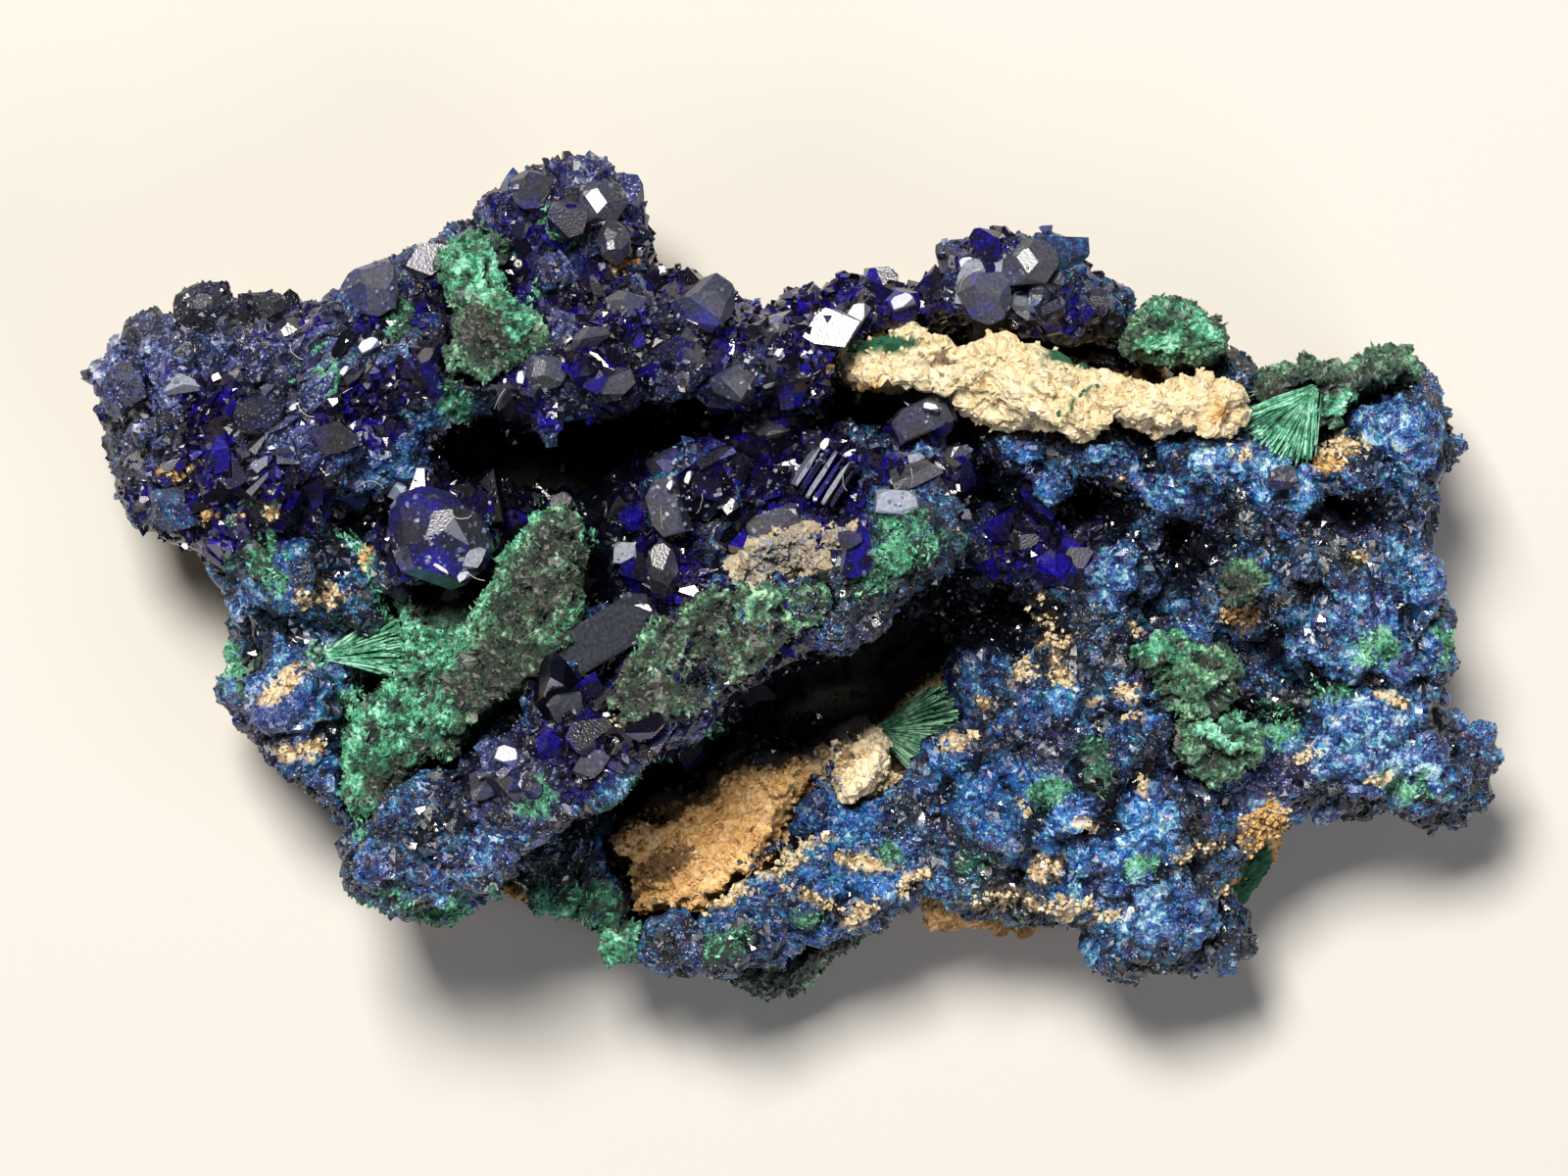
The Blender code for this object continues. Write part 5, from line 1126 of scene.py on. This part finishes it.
# %% Placed crystals
Placed = namedtuple("Placed", "kind x y long wide thick heading look face rise", defaults=((0, 0), 0.3))
FLASH = (-0.07, 0.17)  # how far a face leans to mirror the main lamp
PLACED = [Placed(*row) for row in (
    ("oval", -18.3, 2.2, 5.6, 4.9, 4.2, -35, "violet", (0.12, -0.26), 0.12),
    ("table", -19.6, 3.5, 2.1, 0.5, 0.5, 50, "pale", (-0.3, 0.3), 0.2),
    ("nugget", -16.4, 3.3, 2.2, 2, 2, 60, "blue", (0.5, 0.3), 0),
    ("nugget", -16.5, 1.1, 1.3, 1, 0.6, 70, "pale", (0.1, -0.1), 0.15),
    ("table", -18.1, 0.55, 0.94, 0.21, 0.4, -35, "white", FLASH, 0.4),
    ("table", -18, -0.7, 1, 0.8, 0.7, -20, "brown", (0.2, -0.2), 0.3),
    ("nugget", -16.9, -0.5, 1.6, 1.4, 1.2, 0, "dark", (0, -0.3), 0.2),
    ("table", -12.3, 4, 1.2, 1, 0.8, 30, "brown", (0.1, 0.1), 0.4),
    ("block", -12.2, 5, 1, 0.9, 0.8, 10, "brown", (0, 0), 0.4),
    ("table", -12.3, 5.9, 0.51, 0.26, 0.4, 80, "white", FLASH, 0.8),
    ("cushion", -6.7, 5.9, 2, 2, 1.7, 20, "brown", (-0.1, 0), 0.3),
    ("table", -6.7, 3.7, 2.9, 1.6, 1.5, 105, "grey", (-0.3, -0.05), 0.4),
    ("table", -6.5, 4.8, 0.51, 0.3, 0.5, 60, "white", FLASH, 1.1),
    ("cushion", -6.95, 0.7, 3.1, 1.7, 1.7, 95, "brown", (-0.2, -0.15), 0.35),
    ("cushion", -4.8, 4.6, 3.7, 3.1, 2.6, 15, "dark", (0.05, 0.1), 0.25),
    ("table", -4.2, 6.2, 2, 0.6, 0.7, 30, "blue", (-0.1, 0.35), 0.9),
    ("block", -1.4, 7.7, 2.1, 1.4, 1.1, 10, "grey", (0.1, -0.1), 0.4),
    ("block", 0.6, 7.3, 2, 1.6, 1.2, 20, "brown", (0.1, 0.05), 0.4),
    ("table", 1.35, 6.9, 0.68, 0.38, 0.5, 55, "white", FLASH, 0.9),
    ("block", 3.7, 6.5, 2.1, 0.7, 1, 28, "blue", (0, 0.3), 0.5),
    ("table", 6.3, 8.3, 3, 1.6, 1.4, 25, "brown", (-0.16, -0.14), 0.3),
    ("table", 6.7, 8.75, 0.81, 0.34, 0.5, -15, "white", FLASH, 1.1),
    ("nugget", 5.9, 6.15, 0.85, 0.55, 0.6, 10, "pale", (0, 0), 0.4),
    ("table", 4.9, 3.9, 2.12, 1.19, 1.2, -4, "pale", (0.06, -0.02), 0.45),
    ("nugget", 5.9, 5.3, 2.6, 1.5, 1.3, 15, "brown", (0, 0), 0.3),
    ("table", -1.3, 3, 2.7, 1.1, 0.8, 20, "grey", (-0.18, -0.1), 0.3),
    ("table", -8.8, 1.4, 1.4, 1.1, 0.9, -3, "pale", (0.03, -0.03), 0.8),
    ("table", -3.55, 3.8, 0.8, 0.75, 0.5, 40, "brown", (0, 0.1), 0.5),
    ("block", -2, 4, 0.51, 0.42, 0.5, 20, "white", FLASH, 0.4),
    ("nugget", 2.5, 2, 1.2, 1.1, 0.9, 0, "violet", (0.1, 0), 0.3),
    ("nugget", 3, 1.4, 2.6, 2.1, 1.3, 75, "blue", (-0.2, -0.1), 0.2),
    ("block", -5.1, 1.3, 1.5, 1.1, 1, 45, "blue", (0.1, 0.2), 0.3),
    ("block", -5.6, -1.2, 1.7, 0.6, 0.7, 25, "violet", (0, 0.1), 0.3),
    ("table", -9.7, -2.7, 5.4, 2.3, 0.9, 31, "slate", (-0.14, -0.14), 0.45),
    ("cushion", -11.6, -6.4, 2.1, 1.8, 1.5, 20, "slate", (0, 0.1), 0.3),
    ("table", -14.6, -8.8, 1.15, 0.89, 0.7, -20, "white", FLASH, 0.4),
    ("cushion", -13.4, -10.4, 1.3, 1.1, 1, 0, "violet", (0, 0), 0.3),
    ("nugget", -7.6, -7.3, 2, 1.5, 1.2, 20, "dark", (-0.2, -0.1), 0.2),
    ("cushion", -30.4, 13.9, 3.4, 2.6, 2.2, 20, "dome", (-0.1, 0.3), 0),
    ("cushion", -27.6, 14, 2.6, 2.2, 2, 0, "dome", (0.1, 0.3), 0),
    ("cushion", -33.4, 12.7, 2.8, 2.6, 2.2, 40, "dome", (-0.3, 0.2), 0),
    ("cushion", -34.4, 9.8, 3.2, 2.4, 2, 80, "dome", (-0.4, 0), 0),
    ("block", -31.2, 10, 2.1, 1.3, 1, 10, "pale", (0.1, 0), 0.4),
    ("cushion", -33.8, 6.2, 2.8, 2.4, 1.8, 50, "dome", (-0.3, -0.1), 0),
    ("table", -21.8, 11.9, 1.1, 0.59, 0.6, 30, "white", FLASH, 0.4),
    ("cushion", -21.7, 15, 3.2, 2.9, 2.2, 30, "frost", (0.1, 0), 0.1),
    ("nugget", -19, 16.3, 2.2, 1.8, 1.5, 60, "violet", (0, 0.2), 0.2),
    ("nugget", -26.2, 12.6, 2, 1.6, 1.2, 20, "violet", (0, 0.1), 0.2),
    ("cushion", -4.6, 14, 3.2, 2.8, 2.2, 30, "frost", (0, 0.12), 0.15),
    ("cushion", -8.6, 13.6, 2.6, 2.2, 1.8, 0, "grey", (0.1, 0.2), 0.15),
    ("block", -1.2, 12.4, 2.4, 1.9, 1.6, 40, "brown", (0.1, 0.1), 0.2),
    ("cushion", -12.8, 10.6, 2.6, 2, 1.7, 10, "grey", (0, 0), 0.2),
    ("block", -7.6, 10.4, 2, 1.7, 1.5, 70, "dark", (0, -0.1), 0.2),
    ("cushion", -3.2, 10, 2.4, 2, 1.6, 20, "grey", (0, -0.1), 0.2),
    ("cushion", -13.6, 20, 2.6, 2.2, 1.8, 0, "brown", (-0.1, 0.3), 0.1),
    ("cushion", -10.2, 19.4, 3, 2.6, 2, 50, "grey", (0.2, 0.2), 0.1),
    ("cushion", -9.4, 17.2, 2.4, 2, 1.6, 80, "brown", (0.3, 0), 0.1),
    ("table", 3, 13.5, 1.3, 0.9, 0.7, 60, "white", FLASH, 0.4),
    ("table", 5.3, 14.2, 1.2, 0.7, 0.7, 20, "white", FLASH, 0.4),
    ("cushion", 9.6, 14.6, 3.2, 3, 2.4, 20, "frost", (0, 0.1), 0.15),
    ("cushion", 11.8, 16.2, 3.2, 2.6, 2, 50, "grey", (0.2, 0.3), 0.1),
    ("cushion", 5, 13.8, 2.6, 2.4, 2, 10, "blue", (0.1, -0.1), 0.15),
    ("block", 2, 13.6, 2.2, 1.8, 1.5, 60, "brown", (-0.1, 0.2), 0.15),
    ("block", 25.7, 1.6, 1.02, 0.85, 0.8, 20, "white", FLASH, 0.5),
    ("block", 25.4, 0.5, 0.85, 0.94, 0.8, 60, "white", FLASH, 0.5),
    ("nugget", 14.2, 1, 1.7, 1.4, 1.1, 60, "brown", (0, 0.1), 0.1),
    ("nugget", 24.6, 5.2, 1.6, 1.4, 1.1, 0, "brown", (0, 0), 0.3),
    ("block", 9, 7.6, 1.7, 1.3, 1.2, 50, "brown", (0, 0), 0.3),
    ("block", -2.9, 7.1, 2.4, 1.6, 1.5, 35, "blue", (-0.2, 0.3), 0.3),
    ("nugget", -1.6, 4.9, 2.6, 2.1, 1.7, 0, "dark", (0.1, -0.1), 0.25),
    ("block", -3.9, 1.2, 2.2, 1.7, 1.4, 60, "dark", (-0.1, 0), 0.25),
    ("nugget", -8.2, 3.4, 2.2, 1.9, 1.5, 30, "blue", (0.2, 0.2), 0.1),
    ("block", 2.4, 8.2, 1.9, 1.5, 1.3, 70, "dark", (0.1, 0.1), 0.2),
    ("nugget", 7.8, 6.4, 2, 1.7, 1.4, 10, "brown", (0, 0.1), 0.2),
    ("block", -6.1, 7.6, 2.1, 1.5, 1.3, 20, "blue", (0.1, 0.3), 0.2),
    ("block", -10.9, 12.2, 2.4, 1.9, 1.5, 40, "grey", (-0.2, -0.1), 0.2),
    ("block", -5.7, 11.6, 2.2, 1.8, 1.6, 110, "grey", (-0.25, -0.1), 0.2),
    ("nugget", -9.4, 9.8, 2.4, 1.9, 1.6, 20, "brown", (0, -0.2), 0.2),
    ("block", -0.8, 10.3, 2.4, 1.8, 1.5, 10, "grey", (-0.1, -0.2), 0.2),
    ("block", -14.8, 9.6, 2.1, 1.7, 1.4, 50, "brown", (0.1, 0), 0.2),
    ("nugget", -23.6, 7.2, 2.4, 1.8, 1.5, 20, "violet", (0, -0.1), 0.2),
    ("block", -26.6, 6.4, 2.6, 1.6, 1.4, 25, "brown", (-0.2, -0.1), 0.2),
    ("block", -29.4, 6.8, 2.2, 1.5, 1.3, 40, "violet", (-0.1, 0), 0.2),
    ("cushion", -12.6, -8.2, 2.4, 1.9, 1.5, 30, "dark", (0, 0.1), 0.2),
    ("nugget", -15.4, -10.2, 2.2, 1.8, 1.4, 10, "brown", (-0.1, 0), 0.2),
    ("nugget", -10.4, -9.2, 1.9, 1.5, 1.2, 60, "brown", (0, 0), 0.2),
    ("table", -17, 0.2, 0.7, 0.4, 0.4, 30, "white", (-0.05, 0.1), 0.3),
    ("block", -19.9, 1.6, 1.2, 0.8, 0.5, 60, "brown", (-0.2, 0.1), 0.1),
    ("block", -18.6, 4.2, 1, 0.6, 0.5, 10, "grey", (0, 0.3), 0.1),
    ("table", -5.6, 5.2, 0.7, 0.3, 0.4, 70, "white", FLASH, 0.5),
    ("table", 2.6, 6.4, 0.8, 0.3, 0.4, 30, "white", FLASH, 0.5),
    ("table", 11.2, 14.4, 0.9, 0.6, 0.5, 50, "white", FLASH, 0.4),
    ("table", 8.6, 16.2, 0.8, 0.5, 0.5, 10, "white", FLASH, 0.4),
    ("table", -25.6, 8.8, 0.7, 0.3, 0.4, 30, "white", FLASH, 0.5),
    ("table", -23, 10.6, 0.6, 0.3, 0.4, 50, "white", FLASH, 0.5),
    ("table", -14, 10.2, 0.7, 0.4, 0.4, 80, "white", FLASH, 0.5),
)]
for step in range(6):  # the stack of blades, every other one of them pale and a little prouder
    pale = step % 2 == 0
    long = 2.9 - 0.25 * abs(step - 2.5)
    PLACED.append(Placed("table", 0.35 + 0.40 * step, 5.8 - 0.22 * step, long, 0.26, 2.2, 56,
                         "edge" if pale else "blue", (0.10 - 0.05 * step, -0.04), 0.35 + 0.1 * pale))
LOOKS = {  # glassy, vivid, frosted, shaded; then the facet range of its faces and its grain
    "dark": ((1, 0, 0, 0), (0.10, 0.50), 0.3), "violet": ((1, 0, 0.05, 0), (0.44, 0.90), 0.5),
    "brown": ((1, 0, 0.1, 0), (0.66, 0.80), 0.4), "grey": ((1, 0, 0.15, 0), (0.74, 0.86), 0.5),
    "slate": ((1, 0, 0.14, 0), (0.12, 0.30), 0.4), "blue": ((1, 1, 0, 0), (0.30, 0.62), 0.5),
    "white": ((1, 0, 0.3, 0), (0.85, 1.0), 0.7), "frost": ((1, 0, 0.16, 0), (0.46, 0.92), 0.5),
    "dome": ((0, 0, 0.1, 0), (0.4, 0.80), 0.45), "pale": ((1, 0, 1, 0), (0.85, 1.0), 0.7),
    "edge": ((1, 0, 0.7, 0), (0.88, 1.0), 0.6),
}
ABOVE_ALL = 40.0  # mm: higher than the specimen
KINDS = {"table": tables, "cushion": cushions, "nugget": nuggets, "block": blocks, "oval": [oval]}
everything = tree_of([crust, back, rock, *green_grounds.values()])


def seat(x, y):
    """The height at which a ray from above meets the specimen."""
    hit = everything.ray_cast((x, y, ABOVE_ALL), (0, 0, -1))[0]
    return hit.z if hit else 0.0


def place_crystals(name, wanted, node):
    """Joins the listed crystals of one area into a piece."""
    shapes, places, turns = [], [], []
    for item in wanted:
        top = np.array((*item.face, 1.0))
        top /= np.linalg.norm(top)
        turn = math.radians(item.heading)
        along = np.array((math.cos(turn), math.sin(turn), 0.0))
        along -= top * (along @ top)
        along /= np.linalg.norm(along)
        turns.append(np.stack([along, np.cross(top, along), top], axis=1))
        places.append((item.x, item.y, seat(item.x, item.y) + item.rise * item.thick))
        kinds = KINDS[item.kind]
        shapes.append(kinds[len(shapes) % len(kinds)])
    scales = np.array([(item.long, item.wide, item.thick) for item in wanted])
    points, faces, copies, facets, owners = copied(
        shapes, np.arange(len(shapes)), np.array(places), np.array(turns), scales)
    obj = joined(name, points, faces)
    growth, ranges, grain = [np.array(part, float) for part in zip(*[LOOKS[item.look] for item in wanted])]
    set_values(obj, growth=growth[owners], dust=four(len(points), 0, 0, 0, 1))
    draw = scrambled(np.stack([copies, facets, facets * 0], axis=1), 53)
    low, high = ranges[copies].T
    set_values(obj, "FACE", grain=grain[copies] + 0.2 * (draw - 0.5), facet=low + (high - low) * draw)
    settle(obj, azurite, "azurite", node)
    return obj


def frost_paint(points, sky):
    """Glassy under a film of frost."""
    frost = 0.25 + 0.6 * field(points, 0.9, 58)
    return {"growth": four(len(points), 1, 0, frost, 0), "dust": four(len(points), 0, 0, 0, 0.6)}


def add_chips(obj, node):
    """Small crystals that grow on placed ones."""
    spots = draw_spots(survey_of(obj), 3.4, lambda at, up: rise(field(at, 1.3, 55), 0.44, 0.1))
    grown(obj.name + "_chips", chips, spots, (0.10, 0.36), "azurite", node, frost_paint, lean=0.5, sink=0.1)


def on_domes(places, normals):
    """The domes of the left lobe, which are rough all over."""
    rough = [item for item in PLACED if item.look == "dome"]
    near = [np.hypot(places[:, 0] - item.x, places[:, 1] - item.y) < 0.55 * item.long for item in rough]
    return np.any(near, axis=0).astype(float)


SMALL = 1.35  # mm: crystals shorter than this sit on the larger ones
on_back = [item for item in PLACED if item.y > 12 and -1.5 < item.x < 17]
on_front = [item for item in PLACED if item not in on_back]
placed, placed_back = [
    place_crystals(f"azurite_{where}placed_crystals", [item for item in items if item.long >= SMALL], node)
    for where, items, node in (("", on_front, "azurite_crust"), ("back_", on_back, "azurite_back_cluster"))]
add_chips(placed, "azurite_crust")
add_chips(placed_back, "azurite_back_cluster")
grown("azurite_dome_grains", grains, draw_spots(survey_of(placed), 9.0, on_domes), (0.16, 0.42),
      "azurite", "azurite_crust", azurite_paint, lean=0.9, sink=0.05, stretch=0.45)
everything = tree_of([crust, back, rock, placed, placed_back, *green_grounds.values()])
for where, items, node in (("", on_front, "azurite_crust"), ("back_", on_back, "azurite_back_cluster")):
    place_crystals(f"azurite_{where}placed_details", [item for item in items if item.long < SMALL], node)

# %% [markdown]
# ## Crumbs of malachite and clay
#
# Close up, broken malachite is a crumbly felt of fibre ends from mint to nearly black, and the clay
# is as granular as bread. Crumbs a third of a millimetre across give both their bite. On the azurite
# the same crumbs lie in loose trains.

# %% Crumbs
BEIGE = patches((-0.4, 1.4, 2, 1.3, 15), (1.8, 2.2, 1.2, 0.5, 25), (-2.2, 0.6, 1.1, 0.8, 30))
MOUND_BLUE = patches(
    (1.6, -10.4, 0.9, 2.4, -20), (-0.8, -8.2, 2.4, 0.7, 22), (2.2, -13.2, 1.4, 0.7, 20),
    (-1.6, -14.2, 1.8, 0.4, 30), (-6, -10.4, 1.6, 0.4, 30),
)
splinters = [Shape(shape.points * (0.5, 0.5, 1.5), shape.faces, shape.facets) for shape in grains]
for node, ground in green_grounds.items():
    spots = draw_spots(survey_of(ground), 9.5, lambda at, up: np.ones(len(at)))
    grown(node + "_crumbs", splinters + grains[:1], spots, (0.14, 0.40), "malachite", node, malachite_paint,
          lean=0.7, sink=-0.25, stretch=0.5, stray=0.2)
spots = draw_spots(survey_of(green_grounds["malachite_ledge_skin"]), 9.0,
                   lambda at, up: rise(field(at, 1.6, 57), 0.52, 0.06))
grown("ledge_azurite_grains", grains, spots, (0.18, 0.5), "azurite", "malachite_ledge_skin", azurite_paint,
      lean=0.9, sink=-0.25)


def along(line, per_mm, wander):
    """Spots on a drawn line, seated from above, and the way the line runs at each."""
    places, runs = [], []
    for (x0, y0), (x1, y1) in zip(line, line[1:]):
        share = rng.random((int(per_mm * math.dist((x0, y0), (x1, y1))), 1))
        flat = np.array([x0, y0]) + share * np.array([x1 - x0, y1 - y0])
        flat = flat + wander * rng.normal(size=(len(share), 2))
        places.append(np.column_stack([flat, [seat(x, y) for x, y in flat]]))
        run = np.array([x1 - x0, y1 - y0, 0.0])
        runs.append(np.tile(run / np.linalg.norm(run), (len(share), 1)))
    return Spots(np.concatenate(places), np.concatenate(runs), None)


EDGES = [  # thin bright edges of the malachite plates
    [(-13.0, 4.1), (-14.2, 2.4), (-15.4, 0.2), (-16.2, -1.8), (-17.0, -3.2)],
    [(-17.0, -3.2), (-18.6, -4.6), (-19.4, -6.6), (-21.0, -8.6)],
    [(-23.6, 2.7), (-22.6, 1.9), (-21.8, 0.2), (-21.3, -1.6), (-20.4, -3.4), (-20.6, -5.6)],
    [(-11.2, 4.0), (-10.6, 3.0), (-10.8, 1.6)], [(-10.6, -0.8), (-11.6, -2.0), (-12.6, -3.4)],
    [(-22.8, -5.4), (-23.4, -8.0), (-22.6, -10.8), (-22.2, -13.2)],
    [(-13.4, 15.0), (-13.6, 13.2), (-14.2, 11.8)],
]


def mint_paint(points, sky):
    """All mint."""
    return {"growth": four(len(points), 1, 0, 0, 1)}


edge_lines = [along(line, 26.0, 0.16) for line in EDGES]
edge_spots = Spots(np.concatenate([line.places for line in edge_lines]),
                   np.concatenate([line.normals for line in edge_lines]), None)
grown("malachite_wall_edges", splinters, edge_spots, (0.16, 0.46), "malachite", "malachite_wall", mint_paint,
      lean=0.45, stretch=0.4)


def on_rock(places, normals):
    """Where the rock crumbles: most of all on the ochre mound, and little low on the flanks."""
    return np.clip((places[:, 2] - 2) / 3, 0.1, 0.8) + 0.9 * within(places, OCHRE_ROCK[:1], 0.4, 0.8, 31)


grown("rock_crumbs", grains, draw_spots(survey_of(rock), 5.4, on_rock), (0.14, 0.42), "limonite_clay",
      "matrix_rock", rock_paint, lean=0.9, sink=-0.1, stretch=0.4, stray=0.2)


def crumb_paint(points, sky):
    """Cream crumbs, grey beige on the ledge and ochre where there is limonite."""
    return {"growth": four(len(points), within(points, OCHRE, 0.6, 0.5, 64), 0, 0, 0),
            "drab": within(points, BEIGE, 0.0, 0.6, 63, 0.6)}


def on_clay(places, normals):
    """Where clay crumbs lie on the azurite."""
    dusty = np.maximum(share_of("clayey", places), share_of("rusty", places))
    return np.maximum(dusty, 1.6 * within(places, BEIGE, 1.0, 0.4, 63)) * (normals[:, 2] > 0)


grown("clay_crumbs", grains, draw_spots(crust_survey, 18.0, on_clay), (0.12, 0.40), "limonite_clay",
      "azurite_crust", crumb_paint, lean=0.9, sink=-0.35, stretch=0.4, stray=0.1)


def on_moss(places, normals):
    """Where malachite dusts the azurite."""
    return share_of("mossy", places) * (normals[:, 2] > 0)


def moss_paint(points, sky):
    """Partly mint and partly deep green."""
    return {"growth": four(len(points), rise(field(points, 0.9, 71), 0.20, 0.2), 0, 0, 1)}


grown("moss_crumbs", splinters, draw_spots(crust_survey, 11.0, on_moss), (0.14, 0.4), "malachite",
      "azurite_crust", moss_paint, lean=0.8, sink=-0.25, stretch=0.4)


def dropped(ovals, per_mm2, fray, grain, seed):
    """Spots where things dropped from above come to rest, inside frayed patches."""
    tries = []
    for patch in ovals:
        reach = 1.5 * max(patch.rx, patch.ry)
        count = int(per_mm2 * 4 * reach * reach)
        flat = np.array([patch.x, patch.y]) + rng.uniform(-reach, reach, (count, 2))
        tries.append(np.column_stack([flat, [seat(x, y) for x, y in flat]]))
    places = np.concatenate(tries)
    places = places[within(places, ovals, fray, grain, seed) > 0.5]
    return Spots(places, np.tile([0.0, 0.0, 1.0], (len(places), 1)), np.ones(len(places)))


def dusty_paint(points, sky):
    """Azurite grains under a film of dust."""
    return {"growth": four(len(points), 1, 0, 1, 0), "dust": four(len(points), 0, 0, 0, 0)}


lumpy = grown("ledge_clay_lumps", nuggets, dropped(BEIGE, 2.4, 0.3, 0.5, 63), (0.8, 1.3), "limonite_clay",
              "azurite_crust", crumb_paint, lean=0.5, sink=-0.1, stretch=0.3)
everything = tree_of([crust, back, rock, placed, placed_back, lumpy, *green_grounds.values()])
for name, ovals, per_mm2, fray, grain, seed, sizes, slot, node, paint, sink in (
        ("ledge_clay_crumbs", BEIGE, 24.0, 0.4, 0.5, 63, (0.16, 0.42), "limonite_clay", "azurite_crust",
         crumb_paint, -0.3),
        ("ledge_dusty_grains", BEIGE, 5.0, 0.4, 0.5, 63, (0.16, 0.42), "azurite", "azurite_crust",
         dusty_paint, -0.4),
        ("mound_azurite_grains", MOUND_BLUE, 16.0, 1.4, 0.6, 67, (0.2, 0.7), "azurite", "matrix_rock",
         azurite_paint, -0.1)):
    grown(name, grains, dropped(ovals, per_mm2, fray, grain, seed), sizes, slot, node, paint,
          lean=0.9, sink=sink, stretch=0.4)

# %% [markdown]
# ## Malachite sprays
#
# In three hollows the malachite opens into a fan of silky needles. Each needle is a thin
# three-sided rod that widens outwards, and they all start near one point.

# %% Needle sprays
NEEDLES = 800
Fan = namedtuple("Fan", "x y z heading length half_angle rise mint fading")
FANS = {
    "malachite_west_fan": Fan(-24.2, -3.9, 13.6, 10, 4.4, 26, 8, 1.0, 0.6),
    "malachite_cave_fan": Fan(4.2, -7.9, 9.6, -4, 4.6, 44, 14, 0.3, 0.0),
    "malachite_east_fan": Fan(26.2, 9.6, 18.4, 232, 4.0, 36, -2, 1.0, 0.0),
}


def spray(node, fan):
    """A fan of needles in place of one of the frame's plain fans."""
    swing = rng.uniform(-1, 1, NEEDLES)
    pitch = np.radians(rng.normal(0, 0.5, NEEDLES) * 16 + fan.rise - 10 * swing ** 2)
    turn = np.radians(fan.heading + fan.half_angle * swing)
    axes = np.stack([np.cos(turn) * np.cos(pitch), np.sin(turn) * np.cos(pitch), np.sin(pitch)], axis=1)
    places = np.array((fan.x, fan.y, fan.z)) + 0.12 * rng.normal(size=(NEEDLES, 3))
    length = fan.length * rng.uniform(0.62, 1.0, NEEDLES) * (1 - 0.12 * swing ** 2)
    width = rng.uniform(0.06, 0.14, NEEDLES)
    scales = np.stack([width, width, length], axis=1)
    turns = frames_along(axes, rng.uniform(0, math.tau, NEEDLES))
    points, faces, copies, facets, owners = copied([needle], np.zeros(NEEDLES, int), places, turns, scales)
    obj = joined(node + "_needles", points, faces)
    mint = np.clip(fan.mint - fan.fading * swing, 0, 1)
    set_values(obj, growth=four(NEEDLES, mint, 0, 0, 1)[owners])
    set_values(obj, "FACE", grain=0.45 + 0.75 * rng.random(NEEDLES)[copies])
    settle(obj, malachite, "malachite", node)


for node, fan in FANS.items():
    spray(node, fan)

# %% [markdown]
# ## Lint
#
# Fine white threads of lint, left from the cloth it was wrapped in, are caught on the sharp crystals.
# Each is a thin three-sided tube along an arc.

# %% Lint
LINT = [(-21.2, 4.7), (2.4, 4.5), (-12.0, 4.2), (-17.6, 3.4), (-24.4, 8.4), (-14.8, 9.6), (-6.9, 2.6),
        (5.6, 5.6), (-25.8, 12.0), (-4.9, 4.4), (-22.6, 9.8), (-17.2, 0.4), (8.2, 14.8)]
BENDS = 9
HALF_THREAD = 0.017  # mm


def thread(x, y):
    """Points and faces of one curled thread that rests on the specimen."""
    turn, curl, step = rng.uniform(0, math.tau), rng.uniform(-2.6, 2.6), rng.uniform(0.10, 0.2)
    spine = [np.array((x, y, 0.0))]
    for _ in range(BENDS):
        turn += curl / BENDS + rng.normal(0, 0.18)
        spine.append(spine[-1] + step * np.array((math.cos(turn), math.sin(turn), 0.0)))
    height = max(seat(at[0], at[1]) for at in spine) + 0.05
    rings = []
    for index, at in enumerate(spine):
        lift = height + 0.15 * math.sin(math.pi * index / BENDS)
        for corner in range(3):
            angle = math.tau * corner / 3
            out = np.array((math.cos(angle), math.sin(angle), corner - 1))
            rings.append(np.array((at[0], at[1], lift)) + HALF_THREAD * out)
    faces = [(0, 2, 1), (3 * BENDS, 3 * BENDS + 1, 3 * BENDS + 2)]
    for ring in range(BENDS):
        for corner in range(3):
            a, b = 3 * ring + corner, 3 * ring + (corner + 1) % 3
            faces += [(a, b, b + 3), (a, b + 3, a + 3)]
    return np.array(rings), np.array(faces)


threads = [thread(*spot) for spot in LINT]
points = np.concatenate([rings for rings, faces in threads])
faces = np.concatenate([faces + 3 * (BENDS + 1) * index for index, (rings, faces) in enumerate(threads)])
settle(joined("lint_threads", points, faces), new_material("cotton_lint", "#cfc6ba", 0.8)[0], None)
